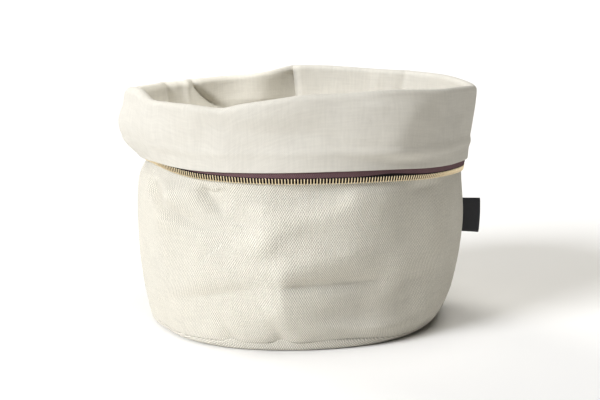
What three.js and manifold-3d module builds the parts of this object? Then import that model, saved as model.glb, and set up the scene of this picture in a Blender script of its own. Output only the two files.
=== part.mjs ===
// A round, soft bread bag that stands on a sewn-in base with its open top folded down as a cuff.
// Coarse canvas outside, fine cotton lining inside. The cuff turns the lining outwards, and one
// half of an open metal zip runs round the cuff's lower edge. Millimetres, +Z up, the front at -Y.
// The origin is the middle of the base, on the surface that the bag stands on.
import * as THREE from "three";
import { mergeVertices } from "three/addons/utils/BufferGeometryUtils.js";
import Module from "manifold-3d";

// Cloth. Each section of the bag is drawn as the line between its two layers: the canvas lies on
// one side of that line and the lining on the other, each half a gap away from it.
const GAP = 0.3;
const CANVAS = 1.2;
const LINING = 1.0;

// Zip: a woven tape sewn between canvas and lining at the hem, and a row of metal teeth.
const TAPE = { thick: 1.0, wide: 13.5 };
const TEETH = { tall: 4.0, thick: 2.0 };
const ZIP_DROP = 8.3; // how far the teeth hang below the hem where the hem isn't curled under
const TAPE_ROOM = { off: 0.9, past: 1, over: 7 }; // each layer moves off the line to let the tape in
const TEETH_ROOM = { off: 1.3, over: 4, full: 0.4 }; // and more where the curled hem hides the teeth
const SEAM_RIDGE = { above: 12, wide: 2.4, tall: 0.7 }; // ridge that the tape's edge presses into the cuff

// Label: a small woven tab caught in the seam at the right side.
const LABEL = { long: 13, tall: 24, thick: 1.2, low: 61.3, bend: 1.2 };
const SLOT_DEPTH = 20; // of the cut that its root sits in

const SIDE_SEAM = 90; // degrees: the canvas and the lining are each a front and a back panel
const FLOOR_LINE = GAP / 2 + CANVAS; // height of the line between the layers over the flat base
const REACH = 114; // mean radius, which turns degrees into millimetres along the cloth

// Sections of the bag by angle: 0 is the front, 90 the right side, -90 the left, 180 the back.
// foot: where the base leaves the surface. seam: where base and wall meet. heel, low, mid, waist
// and neck: the standing wall at the heights in WALL_HEIGHTS. brim: middle of the rolled fold, and
// its height. roll: radius of that fold. bulge and band: the cuff at BULGE_ABOVE and BAND_ABOVE over
// its hem. drop: how far the zip shows below the hem.
const SECTION_COLUMNS = ["phi", "foot", "seamR", "seamZ", "heel", "low", "mid", "waist", "neck",
  "brimR", "brimZ", "roll", "bulge", "band", "hemR", "hemZ", "drop"];
const SECTION_ROWS = [
  [-180, 95, 99.5, 5, 103, 107.5, 113, 112, 111.2, 117.8, 169.8, 2.2, 118.5, 116.4, 115.8, 119.5, 8.3],
  [-166, 95, 99.5, 5, 103, 107.5, 113, 112, 111.2, 117.8, 165.2, 2.2, 118.5, 116.4, 115.8, 119.2, 8.3],
  [-148, 95, 99.5, 5, 103, 107.5, 113, 112, 111.2, 117.8, 162.4, 2.4, 118.5, 116.4, 115.8, 119, 8.3],
  [-120, 97, 101, 5, 104, 108.5, 113, 111.6, 109, 117.4, 160.8, 3.2, 120.5, 117, 114.2, 118, 6],
  [-90, 100, 105, 5.5, 107.2, 109.6, 113.2, 111.3, 105.6, 116.8, 162.2, 4.4, 125.8, 120, 110.8, 118.2, 2.8],
  [-76, 99, 104, 5.2, 106, 109.2, 113, 111.2, 105.6, 117, 165, 4.2, 125, 119.4, 110.8, 119.4, 3],
  [-64, 98, 102.2, 5, 104.6, 108.6, 112.8, 111.2, 106, 117.4, 165.4, 3.4, 123.6, 118, 111.4, 120.2, 3.4],
  [-56, 98.5, 102.4, 4.6, 104.6, 108.4, 112.6, 111.3, 107, 117.8, 160.4, 2.8, 122.2, 117, 112.4, 120, 4],
  [-47, 99, 102.8, 4.2, 104.8, 108.4, 112.5, 111.5, 107.8, 117.8, 159.8, 2.5, 121, 116.4, 113.2, 119.2, 5],
  [-36, 99, 102.8, 5, 105, 108.2, 112.5, 111.7, 109.6, 117.9, 159.6, 2.3, 119.6, 116.4, 114.6, 118.6, 5.9],
  [-25, 98.5, 101.6, 5.8, 104.3, 108, 112.5, 111.8, 110.8, 118, 158.4, 2.2, 119, 116.4, 115.2, 118.8, 6.6],
  [-18, 97, 100.4, 6.2, 103.6, 107.8, 112.5, 111.8, 111, 118.1, 161.4, 2.2, 118.6, 116.4, 115.7, 119.2, 7.2],
  [-9, 95, 98.5, 6.5, 102.5, 107.5, 112.5, 111.8, 111.2, 118.1, 164.4, 2.2, 118.3, 116.4, 115.9, 119.6, 7.6],
  [1, 93.5, 97.4, 6.7, 102, 107.2, 112.4, 111.8, 111.2, 118.1, 167.4, 2.2, 118.3, 116.5, 116.1, 120.1, 8.1],
  [12, 92, 96.5, 6.8, 101.5, 107, 112.3, 111.8, 111.2, 118.2, 168, 2.2, 118.3, 116.3, 115.9, 120.4, 8.3],
  [30, 91.5, 96.2, 5.5, 101.6, 107, 112, 111.5, 111, 118.6, 169.4, 2.2, 118.5, 115.9, 115.7, 120, 8.3],
  [45, 90.5, 95.3, 4.2, 101.2, 106.5, 112, 111.5, 111, 118.2, 168, 2.2, 118, 117.1, 117, 118.6, 8.3],
  [55, 90, 94.9, 4, 101.5, 106.9, 112.3, 111.5, 111, 118.4, 167.5, 2.2, 118.1, 117.6, 117.4, 118.1, 8.3],
  [65, 89.7, 94.9, 3.8, 101.7, 107.1, 112.9, 111.6, 111, 118.6, 167, 2.3, 118.2, 116.4, 116.2, 117.6, 8.3],
  [90, 90.7, 95.7, 4, 102.1, 107.4, 113.4, 112, 111.2, 119.4, 165, 2.4, 118.6, 116.2, 115.4, 116, 8.3],
  [120, 94, 98, 4.5, 102.3, 107, 113, 111.8, 111.2, 118.4, 167.4, 2.3, 119, 116.6, 116, 118, 8.3],
  [150, 95, 99, 5, 103, 107.5, 113, 111.8, 111.2, 117.8, 168.1, 2.2, 118.6, 116.4, 115.8, 119.3, 8.3],
];
const WALL_HEIGHTS = { heel: 14, low: 30, mid: 70, waist: 103, neck: 118 };
const BULGE_ABOVE = 21;
const BAND_ABOVE = 9;
const HEM_START = 0.9; // the cuff leaves the hem this much steeper than its mean up to there
const SEAM_START = 1.3; // the wall leaves the seam this much steeper outwards than its mean up to the heel
const BASE_CURVE = { out: 0.45, down: 0.35 }; // how long the base's turn keeps its direction at foot and seam
const BRIM_FOLDS_START = { from: 100, over: 20 }; // the brim's folds grow in over this height of the wall

// Folds and dents. Each runs on a curve from its start, bending towards its via, to its end, in
// degrees and heights. left and right are the widths either side of that run, looking along it.
// A positive height stands out of the bag. edge says how sharply it falls off: 2 is a soft round
// fold, 1.3 a crisper one. spread says how many times wider the left side is at its end.
const FOLD_COLUMNS = ["phi0", "z0", "phi1", "z1", "phi2", "z2", "left", "right", "height", "edge", "spread"];
const BODY_FOLDS = [
  [28, 118, 18, 83, -6, 55, 20, 16, 3.2, 1.5, 1], // long soft corner from under the hem to the creases
  [-3, 69, -9, 41, -5, 10, 15, 16, 5.5, 1.6, 1], // and on, upright, down to the foot
  [-12, 105, -11, 83, -9, 63, 25, 16, 5.5, 1.6, 1], // the full front left of that corner
  [22, 111, -9, 103, -24, 76, 8, 27, -3.8, 2, 1], // and the flatter part across it
  [44, 118, 50, 93, 31, 62, 19, 16, -3.2, 1.8, 1], // hollow right of the corner
  [22, 54, 18, 26, 10, 7, 27, 15, -2.6, 1.8, 1], // and right of its upright part
  [-33, 110, -36, 104, -24, 88, 12, 6, -5.5, 1.6, 1], // dent under the zip at the left
  [-45, 107, -53, 94, -53, 73, 20, 10, 4.6, 1.8, 1], // swell beside that dent
  [-64, 106, -64, 93, -29, 80, 8, 4, -5.5, 2, 1], // arc at the far left
  [-8, 67, -5, 87, 22, 74, 9, 10, -3.2, 1.6, 1], // slanted trough across the middle
  [1, 94, 16, 89, 20, 113, 4, 8, 2.4, 2, 1], // swell above that trough
  [-6, 54, 11, 66, 23, 68, 6, 8, 1.7, 2, 1], // swell under it
  [-7, 47, 4, 45, 29, 47, 10, 4, -3, 1.4, 1], // strong level crease, low in the middle
  [18, 50, 36, 36, 61, 49, 12, 12, -3.9, 1.6, 1], // the crease runs on to the right
  [-57, 26, -31, 37, -8, 46, 6, 14, -3.6, 1.6, 1], // and to the left
  [13, 26, 33, 24, 56, 31, 12, 13, -4.7, 1.6, 1], // second crease under it, right half
  [2, 21, 23, 11, 48, 14, 4, 4, 2.4, 2, 1], // swell between that crease and the foot
  [-25, 4, -26, 15, -32, 27, 4, 6, -1.6, 1.6, 1], // puckers at the base seam
  [-7, 5, -6, 11, -12, 27, 7, 9, -3.2, 1.6, 1],
];
const CUFF_FOLDS = [
  [36, 167, 31, 144, 28, 120, 30, 30, 5.5, 1.4, 1], // corner of the cuff at the right
  [-104, 133, -88, 135, -58, 133, 6, 5, -1.4, 2, 1], // tuck over the bulge at the left
];
const BRIM_FOLDS = [
  [-177, 174, -178.6, 156, -179, 130, 6, 1.8, 6, 1.4, 2.2], // deep fold at the middle of the back
  [-163, 172, -163, 154, -163, 136, 18, 17, -7, 2, 1], // the wall before it comes forward
  [-123, 172, -123, 152, -123, 134, 8, 3.5, 5, 1.6, 1], // pleat at the back, left
  [-131, 172, -131, 152, -131, 134, 4.5, 2, -4.2, 1.6, 1],
  [-134, 166, -138, 150, -150, 138, 6, 2.2, 4.6, 1.4, 1.6], // crease that curves away from it
  [136, 172, 138, 158, 140, 138, 7, 2.6, 3.4, 1.6, 0.6], // pleat at the back, right
  [148, 170, 149, 156, 150, 140, 5, 5, -1.4, 2, 1],
  [-36, 146, -26, 146, 10, 141, 10, 15, -3.8, 1.8, 1], // level slack in the front
  [13, 176, 9, 150, 8, 133, 24, 27, -2.4, 2, 1], // the flatter front beside the cuff's corner
  [61, 176, 61, 158, 64, 142, 19, 16, -2.2, 1.8, 1], // hollow beyond that corner
];
const SEAM_PUCKERS = [[-25.2, 3.0, 1.8], [-6.4, 3.4, 1.8]]; // place and width in degrees, rise of the base seam
const SWELLS_END = { below: 18, over: 9 }; // the body's folds fade over this height, this far below the hem
const DENTS_END = { below: 14, over: 10 };
// The cuff's own folds start this far over its hem and fade under the brim, to this share of their height.
const CUFF_FOLDS_END = { start: 3, over: 9, underBrim: 10, share: 0.3 };
const FOLD_STEPS = 16; // straight pieces that a fold's curve is measured with
const FOLD_ENDS = { share: 0.3, least: 0.35 }; // a fold fades to this part of its height at its ends
const LEAST_WIDTH = 8; // a narrower fold is cut this wide, because the solids' columns stand far apart

// How finely the solids are cut: rows by height on the wall and cuff, columns by angle.
const WALL_ROWS = [11, 18, 30, 44, 58, 72, 86, 98, 106, 112, 118];
const NECK_TO_BRIM_ROWS = [0.35, 0.7, 1];
const BRIM_STEPS = 4;
const CUFF_ROWS = [34, 25, 17, 10, 4, 0];
const TAPE_ROWS = 5;
const TEETH_ROWS = 2;
const FRONT_STEP = 6;
const BACK_STEP = 9;
const BACK_FOLD_COLUMNS = [176, 178.5, 182.5, 184.5]; // extra columns for the steep side of the back fold
const BASE_RINGS = [0.5, 1];
const BASE_EDGE_ROWS = 3;
const SEAM_STRIP = 1.2; // height of the first row of the wall, which runs in the seam's direction

const DEGREE = Math.PI / 180;
const clamp = (x) => Math.min(Math.max(x, 0), 1);
const smooth = (x) => clamp(x) ** 2 * (3 - 2 * clamp(x));
const named = (columns, rows) =>
  rows.map((row) => Object.fromEntries(columns.map((name, i) => [name, row[i]])));

const sections = named(SECTION_COLUMNS, SECTION_ROWS);
const bodyFolds = named(FOLD_COLUMNS, BODY_FOLDS);
const cuffFolds = named(FOLD_COLUMNS, CUFF_FOLDS);
const brimFolds = named(FOLD_COLUMNS, BRIM_FOLDS);

// Cubic between two values with given slopes.
function cubic(a, b, slopeA, slopeB, width, t) {
  const t2 = t * t;
  const t3 = t2 * t;
  return (2 * t3 - 3 * t2 + 1) * a + (t3 - 2 * t2 + t) * width * slopeA
    + (3 * t2 - 2 * t3) * b + (t3 - t2) * width * slopeB;
}

// The section at one angle: every column of the table, smoothed round the bag.
function sectionAt(phi) {
  const angle = ((phi + 180) % 360 + 360) % 360 - 180;
  const count = sections.length;
  const row = (i) => sections[((i % count) + count) % count];
  const at = (i) => row(i).phi + 360 * Math.floor(i / count);
  let i = sections.findLastIndex((s) => s.phi <= angle);
  const t = (angle - at(i)) / (at(i + 1) - at(i));
  const made = {};
  for (const name of SECTION_COLUMNS.slice(1)) {
    const slope = (k) => (row(k + 1)[name] - row(k - 1)[name]) / (at(k + 1) - at(k - 1));
    made[name] = cubic(row(i)[name], row(i + 1)[name], slope(i), slope(i + 1), at(i + 1) - at(i), t);
  }
  for (const [middle, wide, rise] of SEAM_PUCKERS) {
    made.seamZ += rise * Math.exp(-(((angle - middle) / wide) ** 2));
  }
  return made;
}

// A smooth line through points [z, r], with the slopes at its two ends given.
function throughPoints(points, slopeStart, slopeEnd, z) {
  const last = points.length - 1;
  const slope = (k) => {
    if (k === 0) return slopeStart;
    if (k === last) return slopeEnd;
    return (points[k + 1][1] - points[k - 1][1]) / (points[k + 1][0] - points[k - 1][0]);
  };
  let k = 0;
  while (k < last - 1 && z > points[k + 1][0]) k++;
  const width = points[k + 1][0] - points[k][0];
  return cubic(points[k][1], points[k + 1][1], slope(k), slope(k + 1), width, (z - points[k][0]) / width);
}

// How far the given folds move the cloth outwards at one place.
function foldHeight(folds, phi, z) {
  let total = 0;
  for (const f of folds) {
    const u = (((phi - f.phi0 + 180) % 360 + 360) % 360 - 180) * DEGREE * REACH;
    const point = (t) => {
      const a = (1 - t) ** 2 * f.phi0 + 2 * t * (1 - t) * f.phi1 + t * t * f.phi2;
      const b = (1 - t) ** 2 * f.z0 + 2 * t * (1 - t) * f.z1 + t * t * f.z2;
      return [(a - f.phi0) * DEGREE * REACH, b];
    };
    let near = { far: Infinity };
    for (let i = 0; i < FOLD_STEPS; i++) {
      const [ax, az] = point(i / FOLD_STEPS);
      const [bx, bz] = point((i + 1) / FOLD_STEPS);
      const [ex, ez] = [bx - ax, bz - az];
      const s = clamp(((u - ax) * ex + (z - az) * ez) / (ex * ex + ez * ez));
      const [dx, dz] = [u - ax - s * ex, z - az - s * ez];
      const far = Math.hypot(dx, dz);
      if (far < near.far) near = { far, side: ex * dz - ez * dx, along: (i + s) / FOLD_STEPS };
    }
    const width = near.side > 0 ? f.left * (1 + (f.spread - 1) * near.along) : f.right;
    const end = smooth(Math.min(near.along, 1 - near.along) / FOLD_ENDS.share);
    const taper = FOLD_ENDS.least + (1 - FOLD_ENDS.least) * end;
    total += f.height * taper * Math.exp(-((near.far / Math.max(width, LEAST_WIDTH)) ** f.edge));
  }
  return total;
}

// The standing wall without the folds of its body.
function plainWall(s, phi, z) {
  const top = [s.brimZ - s.roll, s.brimR - s.roll];
  const points = [[s.seamZ, s.seamR]];
  for (const [name, height] of Object.entries(WALL_HEIGHTS)) points.push([height, s[name]]);
  points.push(top);
  const start = SEAM_START * (s.heel - s.seamR) / (WALL_HEIGHTS.heel - s.seamZ);
  const grown = smooth((z - BRIM_FOLDS_START.from) / BRIM_FOLDS_START.over);
  return throughPoints(points, start, 0, z) + foldHeight(brimFolds, phi, z) * grown;
}

// The body's folds. Swells end below the teeth, dents further up, where the cuff covers the wall.
function bodyFold(s, phi, z) {
  const height = foldHeight(bodyFolds, phi, z);
  const fade = height > 0 ? SWELLS_END : DENTS_END;
  return height * (1 - smooth((z - s.hemZ + fade.below) / fade.over));
}
const wallRadius = (s, phi, z) => plainWall(s, phi, z) + bodyFold(s, phi, z);

// The slope of the cuff at its hem.
const hemSlope = (s) => HEM_START * (s.band - s.hemR) / BAND_ABOVE;

// The cuff, from its hem up to the brim.
function cuffRadius(s, phi, z) {
  const above = z - s.hemZ;
  const points = [
    [s.hemZ, s.hemR],
    [s.hemZ + BAND_ABOVE, s.band],
    [s.hemZ + BULGE_ABOVE, s.bulge],
    [s.brimZ - s.roll, s.brimR + s.roll],
  ];
  const ridge = SEAM_RIDGE.tall * Math.exp(-(((above - SEAM_RIDGE.above) / SEAM_RIDGE.wide) ** 2));
  const fade = CUFF_FOLDS_END;
  const low = smooth((above - fade.start) / fade.over);
  const high = smooth((s.brimZ - s.roll - z) / fade.underBrim + fade.share);
  const corner = foldHeight(cuffFolds, phi, z) * low * high;
  return throughPoints(points, hemSlope(s), 0, z) + ridge + corner + foldHeight(brimFolds, phi, z);
}

// How far apart the layers stand at a height above the hem, to let the zip's tape and teeth in.
function room(s, above) {
  const hidden = TEETH.tall - s.drop;
  const pastTape = smooth((above - TAPE.wide - hidden - TAPE_ROOM.past) / TAPE_ROOM.over);
  const pastTeeth = smooth((above - hidden) / TEETH_ROOM.over);
  const teeth = TEETH_ROOM.off * (1 - pastTeeth) * smooth(hidden / TEETH_ROOM.full);
  return Math.max(TAPE_ROOM.off * (1 - pastTape), teeth);
}

// The wall's direction where it leaves the seam.
function seamDirection(s) {
  const slope = SEAM_START * (s.heel - s.seamR) / (WALL_HEIGHTS.heel - s.seamZ);
  return new THREE.Vector2(slope, 1).normalize();
}

// The line between canvas and lining at one angle, from the base seam up, over the brim and down
// to the hem. Each point has its place and how far the layers stand off the line there.
function wallLine(phi) {
  const s = sectionAt(phi);
  const top = s.brimZ - s.roll;
  const { neck } = WALL_HEIGHTS;
  const heights = [s.seamZ, ...WALL_ROWS, ...NECK_TO_BRIM_ROWS.map((t) => neck + (top - neck) * t)];
  const wall = heights.map((z) => ({ r: wallRadius(s, phi, z), z, off: 0 }));
  const inner = wall.at(-1).r;
  const outer = cuffRadius(s, phi, top);
  const brim = [];
  for (let i = 1; i < BRIM_STEPS; i++) {
    const angle = Math.PI * (1 - i / BRIM_STEPS);
    const half = (outer - inner) / 2;
    brim.push({ r: inner + half + half * Math.cos(angle), z: top + half * Math.sin(angle), off: 0 });
  }
  const cuff = [top, ...CUFF_ROWS.map((above) => s.hemZ + above)].map((z) => ({
    r: cuffRadius(s, phi, z), z, off: room(s, z - s.hemZ),
  }));
  return [...wall, ...brim, ...cuff];
}

// The same line under the bag: flat over the base, then curving up towards the seam, which it
// reaches half a gap short and in the wall's own direction.
function baseLine(phi) {
  const s = sectionAt(phi);
  const line = BASE_RINGS.map((share) => ({ r: s.foot * share, z: FLOOR_LINE, off: 0 }));
  const foot = new THREE.Vector2(s.foot, FLOOR_LINE);
  const seam = new THREE.Vector2(s.seamR, s.seamZ);
  const up = seamDirection(s);
  const reach = seam.distanceTo(foot);
  const curve = new THREE.CubicBezierCurve(foot,
    new THREE.Vector2(s.foot + reach * BASE_CURVE.out, FLOOR_LINE),
    seam.clone().addScaledVector(up, -reach * BASE_CURVE.down),
    seam.clone().addScaledVector(up, -GAP / 2));
  for (const p of curve.getPoints(BASE_EDGE_ROWS).slice(1)) line.push({ r: p.x, z: p.y, off: 0 });
  return line;
}

// The whole line, with a point half a gap to either side of the seam and one just over it.
function wholeLine(phi) {
  const s = sectionAt(phi);
  const up = seamDirection(s);
  const over = (far) => ({ r: s.seamR + up.x * far, z: s.seamZ + up.y * far, off: 0 });
  return [...baseLine(phi), over(GAP / 2), over(SEAM_STRIP), ...wallLine(phi).slice(1)];
}

// The zip's line at one angle: down inside the hem, out of it, and in to the bag's wall.
function zipLine(phi, from, to, rows) {
  const s = sectionAt(phi);
  const cuff = wallLine(phi).slice(-CUFF_ROWS.length).reverse();
  const lowZ = s.hemZ - ZIP_DROP;
  const wall = plainWall(s, phi, lowZ) + Math.max(bodyFold(s, phi, lowZ), 0);
  const low = Math.min(wall + GAP / 2 + CANVAS + GAP + TEETH.thick / 2, s.hemR);
  const line = [];
  for (let i = 0; i <= rows; i++) {
    const below = -(s.drop - TEETH.tall);
    const above = below + from + (to - from) * (i / rows);
    const z = s.hemZ + above;
    let r = cubic(s.hemR, low, -hemSlope(s), 0, ZIP_DROP, clamp(-above / ZIP_DROP));
    for (let k = 0; above > 0 && k < cuff.length - 1; k++) {
      const t = (z - cuff[k].z) / (cuff[k + 1].z - cuff[k].z);
      if (t >= 0 && t <= 1) r = cuff[k].r + (cuff[k + 1].r - cuff[k].r) * t;
    }
    line.push({ r, z, off: 0 });
  }
  return line;
}

// Moves a section line sideways by an amount on its left (positive is inwards on the wall),
// keeping its distance round the bends.
function beside(line, amount) {
  return line.map((p, i) => {
    const before = line[Math.max(i - 1, 0)];
    const after = line[Math.min(i + 1, line.length - 1)];
    const unit = (a, b) => new THREE.Vector2(-(b.z - a.z), b.r - a.r).normalize();
    const one = i > 0 ? unit(before, p) : unit(p, after);
    const two = i < line.length - 1 ? unit(p, after) : one;
    const mitre = one.clone().add(two).divideScalar(1 + one.dot(two));
    const far = amount + Math.sign(amount) * p.off;
    return new THREE.Vector2(p.r + mitre.x * far, p.z + mitre.y * far);
  });
}

const place = (phi, p) =>
  new THREE.Vector3(p.x * Math.sin(phi * DEGREE), -p.x * Math.cos(phi * DEGREE), p.y);

// A closed solid from a list of triangles, each three points, with shared corners merged.
function closedGeometry(triangles) {
  const flat = new Float32Array(triangles.flat().flatMap((p) => [p.x, p.y, p.z]));
  const geometry = new THREE.BufferGeometry();
  geometry.setAttribute("position", new THREE.BufferAttribute(flat, 3));
  return mergeVertices(geometry, 1e-4);
}

// Two triangles for the four-sided face a, b, c, d.
const face = (a, b, c, d) => [[a, b, c], [a, c, d]];

// A curved sheet between two grids of points, closed along its four edges.
function sheetGeometry(outside, inside) {
  const rows = outside[0].length;
  const columns = outside.length;
  const triangles = [];
  for (let j = 0; j < columns - 1; j++) {
    for (let i = 0; i < rows - 1; i++) {
      triangles.push(...face(outside[j][i], outside[j + 1][i], outside[j + 1][i + 1], outside[j][i + 1]));
      triangles.push(...face(inside[j][i], inside[j][i + 1], inside[j + 1][i + 1], inside[j + 1][i]));
    }
    const end = rows - 1;
    triangles.push(...face(inside[j][0], inside[j + 1][0], outside[j + 1][0], outside[j][0]));
    triangles.push(...face(outside[j][end], outside[j + 1][end], inside[j + 1][end], inside[j][end]));
  }
  for (let i = 0; i < rows - 1; i++) {
    const end = columns - 1;
    triangles.push(...face(outside[0][i], outside[0][i + 1], inside[0][i + 1], inside[0][i]));
    triangles.push(...face(outside[end][i + 1], outside[end][i], inside[end][i], inside[end][i + 1]));
  }
  return closedGeometry(triangles);
}

// A round disc of cloth between two grids of points that close on themselves.
function discGeometry(under, over, underMiddle, overMiddle) {
  const count = under.length;
  const rows = under[0].length;
  const triangles = [];
  for (let j = 0; j < count; j++) {
    const k = (j + 1) % count;
    triangles.push([underMiddle, under[k][0], under[j][0]]);
    triangles.push([overMiddle, over[j][0], over[k][0]]);
    for (let i = 0; i < rows - 1; i++) {
      triangles.push(...face(under[j][i], under[k][i], under[k][i + 1], under[j][i + 1]));
      triangles.push(...face(over[j][i], over[j][i + 1], over[k][i + 1], over[k][i]));
    }
    const end = rows - 1;
    triangles.push(...face(under[j][end], under[k][end], over[k][end], over[j][end]));
  }
  return closedGeometry(triangles);
}

// The angles of a panel's columns. Its two side edges stay half a gap short of the seams.
function columnsOf(from, to, step, extra = []) {
  const trim = GAP / 2 / REACH / DEGREE;
  const angles = [from + trim, ...extra, to - trim];
  for (let angle = from + step; angle < to - step / 2; angle += step) {
    if (extra.every((other) => Math.abs(other - angle) > 1)) angles.push(angle);
  }
  return angles.sort((a, b) => a - b);
}
const FRONT = columnsOf(-SIDE_SEAM, SIDE_SEAM, FRONT_STEP);
const BACK = columnsOf(SIDE_SEAM, 360 - SIDE_SEAM, BACK_STEP, BACK_FOLD_COLUMNS);

// One layer of cloth over a panel's columns, lying between two distances from its line. skip is
// how many points at the start of the line aren't part of it.
function layer(columns, lineAt, near, far, skip = 0) {
  const grid = (amount) =>
    columns.map((phi) => beside(lineAt(phi), amount).slice(skip).map((p) => place(phi, p)));
  return sheetGeometry(grid(Math.min(near, far)), grid(Math.max(near, far)));
}

const BASE_POINTS = BASE_RINGS.length + BASE_EDGE_ROWS;
const panel = (columns, near, far) => layer(columns, wholeLine, near, far, BASE_POINTS);
const canvasPanel = (columns) => panel(columns, -GAP / 2, -GAP / 2 - CANVAS);
const liningPanel = (columns) => panel(columns, GAP / 2, GAP / 2 + LINING);
const tapeBand = (columns) =>
  layer(columns, (phi) => zipLine(phi, TAPE.wide, 0, TAPE_ROWS), -TAPE.thick / 2, TAPE.thick / 2);
const teethBand = (columns) =>
  layer(columns, (phi) => zipLine(phi, -GAP, -GAP - TEETH.tall, TEETH_ROWS), -TEETH.thick / 2, TEETH.thick / 2);

// The canvas or lining of the base, on the lower or upper side of the layers' line.
function baseDisc(near, far) {
  const columns = [...FRONT, ...BACK];
  const edge = (phi, amount) => beside(wholeLine(phi), amount).slice(0, BASE_POINTS);
  const grid = (amount) => columns.map((phi) => edge(phi, amount).map((p) => place(phi, p)));
  const middle = (amount) => new THREE.Vector3(0, 0, FLOOR_LINE + amount);
  return discGeometry(grid(Math.min(near, far)), grid(Math.max(near, far)),
    middle(Math.min(near, far)), middle(Math.max(near, far)));
}

// The label, a bent tab whose root sits in the seam between the two canvas panels.
function labelGeometry() {
  const s = sectionAt(SIDE_SEAM);
  const shares = [0, 0.25, 0.5, 0.75, 1];
  const side = (y) => shares.map((t) => [0, 0.5, 1].map((u) => {
    const z = LABEL.low + LABEL.tall * u;
    const root = wallRadius(s, SIDE_SEAM, z) + GAP;
    const tip = wallRadius(s, SIDE_SEAM, z) + GAP / 2 + CANVAS + LABEL.long;
    return new THREE.Vector3(root + (tip - root) * t, y + LABEL.bend * t * t, z);
  }));
  return sheetGeometry(side(-LABEL.thick / 2), side(LABEL.thick / 2));
}

// The slot that the label's root takes in the side seam.
function labelSlot() {
  const wide = LABEL.thick + 2 * GAP;
  const slot = new THREE.BoxGeometry(SLOT_DEPTH, wide, LABEL.tall + 2 * GAP);
  return slot.translate(REACH, 0, LABEL.low + LABEL.tall / 2);
}

const wasm = await Module();
wasm.setup();

function solidOf(geometry) {
  const bare = geometry.clone();
  bare.deleteAttribute("normal");
  bare.deleteAttribute("uv");
  const merged = mergeVertices(bare, 1e-4);
  return new wasm.Manifold(new wasm.Mesh({
    numProp: 3,
    vertProperties: merged.attributes.position.array,
    triVerts: new Uint32Array(merged.index.array),
  }));
}

// The first geometry with the second cut out of it.
function cut(geometry, tool) {
  const mesh = solidOf(geometry).subtract(solidOf(tool)).getMesh();
  const made = new THREE.BufferGeometry();
  made.setAttribute("position", new THREE.BufferAttribute(mesh.vertProperties, 3));
  made.setIndex(new THREE.BufferAttribute(mesh.triVerts, 1));
  return made;
}

const canvas = new THREE.MeshStandardMaterial({ color: 0xe6e0d2, roughness: 0.95, metalness: 0 });
const cotton = new THREE.MeshStandardMaterial({ color: 0xe9e5d9, roughness: 0.9, metalness: 0 });
const tape = new THREE.MeshStandardMaterial({ color: 0x3a2b2c, roughness: 0.85, metalness: 0 });
const brass = new THREE.MeshStandardMaterial({ color: 0xb08d4f, roughness: 0.35, metalness: 1 });
const black = new THREE.MeshStandardMaterial({ color: 0x17171b, roughness: 0.8, metalness: 0 });

function piece(name, geometry, material) {
  geometry.computeVertexNormals();
  const mesh = new THREE.Mesh(geometry, material);
  mesh.name = name;
  return mesh;
}

const shell = new THREE.Group();
shell.add(
  piece("outer_base", baseDisc(-GAP / 2, -GAP / 2 - CANVAS), canvas),
  piece("outer_wall_front", cut(canvasPanel(FRONT), labelSlot()), canvas),
  piece("outer_wall_back", cut(canvasPanel(BACK), labelSlot()), canvas),
);

const inside = new THREE.Group();
inside.add(
  piece("lining_base", baseDisc(GAP / 2, GAP / 2 + LINING), cotton),
  piece("lining_front", liningPanel(FRONT), cotton),
  piece("lining_back", liningPanel(BACK), cotton),
);

const zip = new THREE.Group();
zip.add(
  piece("zip_tape_front", tapeBand(FRONT), tape),
  piece("zip_tape_back", tapeBand(BACK), tape),
  piece("zip_teeth_front", teethBand(FRONT), brass),
  piece("zip_teeth_back", teethBand(BACK), brass),
);

const bag = new THREE.Group();
bag.add(shell, inside, zip, piece("label", labelGeometry(), black));

export default bag;
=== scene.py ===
"""A round bread bag of coarse canvas with a fine cotton lining, its open top folded down as a cuff.

Every piece of cloth follows one set of sections of the bag, so that the layers lie on each other
as sewn layers do. Shapes are worked out in millimetres, +Z up, the front at -Y, and each mesh is
written in metres. Angles run round the bag: 0 is the front, 90 the right side, 180 the back.
"""
import logging
import math
from collections.abc import Mapping, Sequence
from dataclasses import dataclass, field
from enum import Enum

import bpy
import numpy as np
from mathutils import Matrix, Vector


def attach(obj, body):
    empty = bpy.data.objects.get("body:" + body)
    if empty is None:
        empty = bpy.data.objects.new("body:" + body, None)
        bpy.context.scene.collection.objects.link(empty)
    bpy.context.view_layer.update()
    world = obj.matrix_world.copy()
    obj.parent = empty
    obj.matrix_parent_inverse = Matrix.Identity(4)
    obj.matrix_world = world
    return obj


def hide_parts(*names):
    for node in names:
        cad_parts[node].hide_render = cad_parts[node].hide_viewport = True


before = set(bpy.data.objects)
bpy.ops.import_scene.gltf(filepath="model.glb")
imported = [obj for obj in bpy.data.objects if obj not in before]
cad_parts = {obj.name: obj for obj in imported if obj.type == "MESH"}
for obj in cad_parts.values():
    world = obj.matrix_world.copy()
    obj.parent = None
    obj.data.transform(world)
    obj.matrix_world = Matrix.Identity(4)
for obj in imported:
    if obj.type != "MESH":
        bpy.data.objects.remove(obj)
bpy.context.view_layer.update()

MM = 0.001
DEGREE = math.pi / 180
CLOTH_UV = "Cloth"
BODY = "root"

log = logging.getLogger("bread_bag")

Colour = tuple[float, float, float]
Section = Mapping[str, np.ndarray]


class Side(Enum):
    """The side of the section line that a layer lies on."""

    CANVAS = -1
    LINING = 1


class Half(Enum):
    """The two panels that each layer of the wall is sewn from."""

    FRONT = "front"
    BACK = "back"


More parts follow.
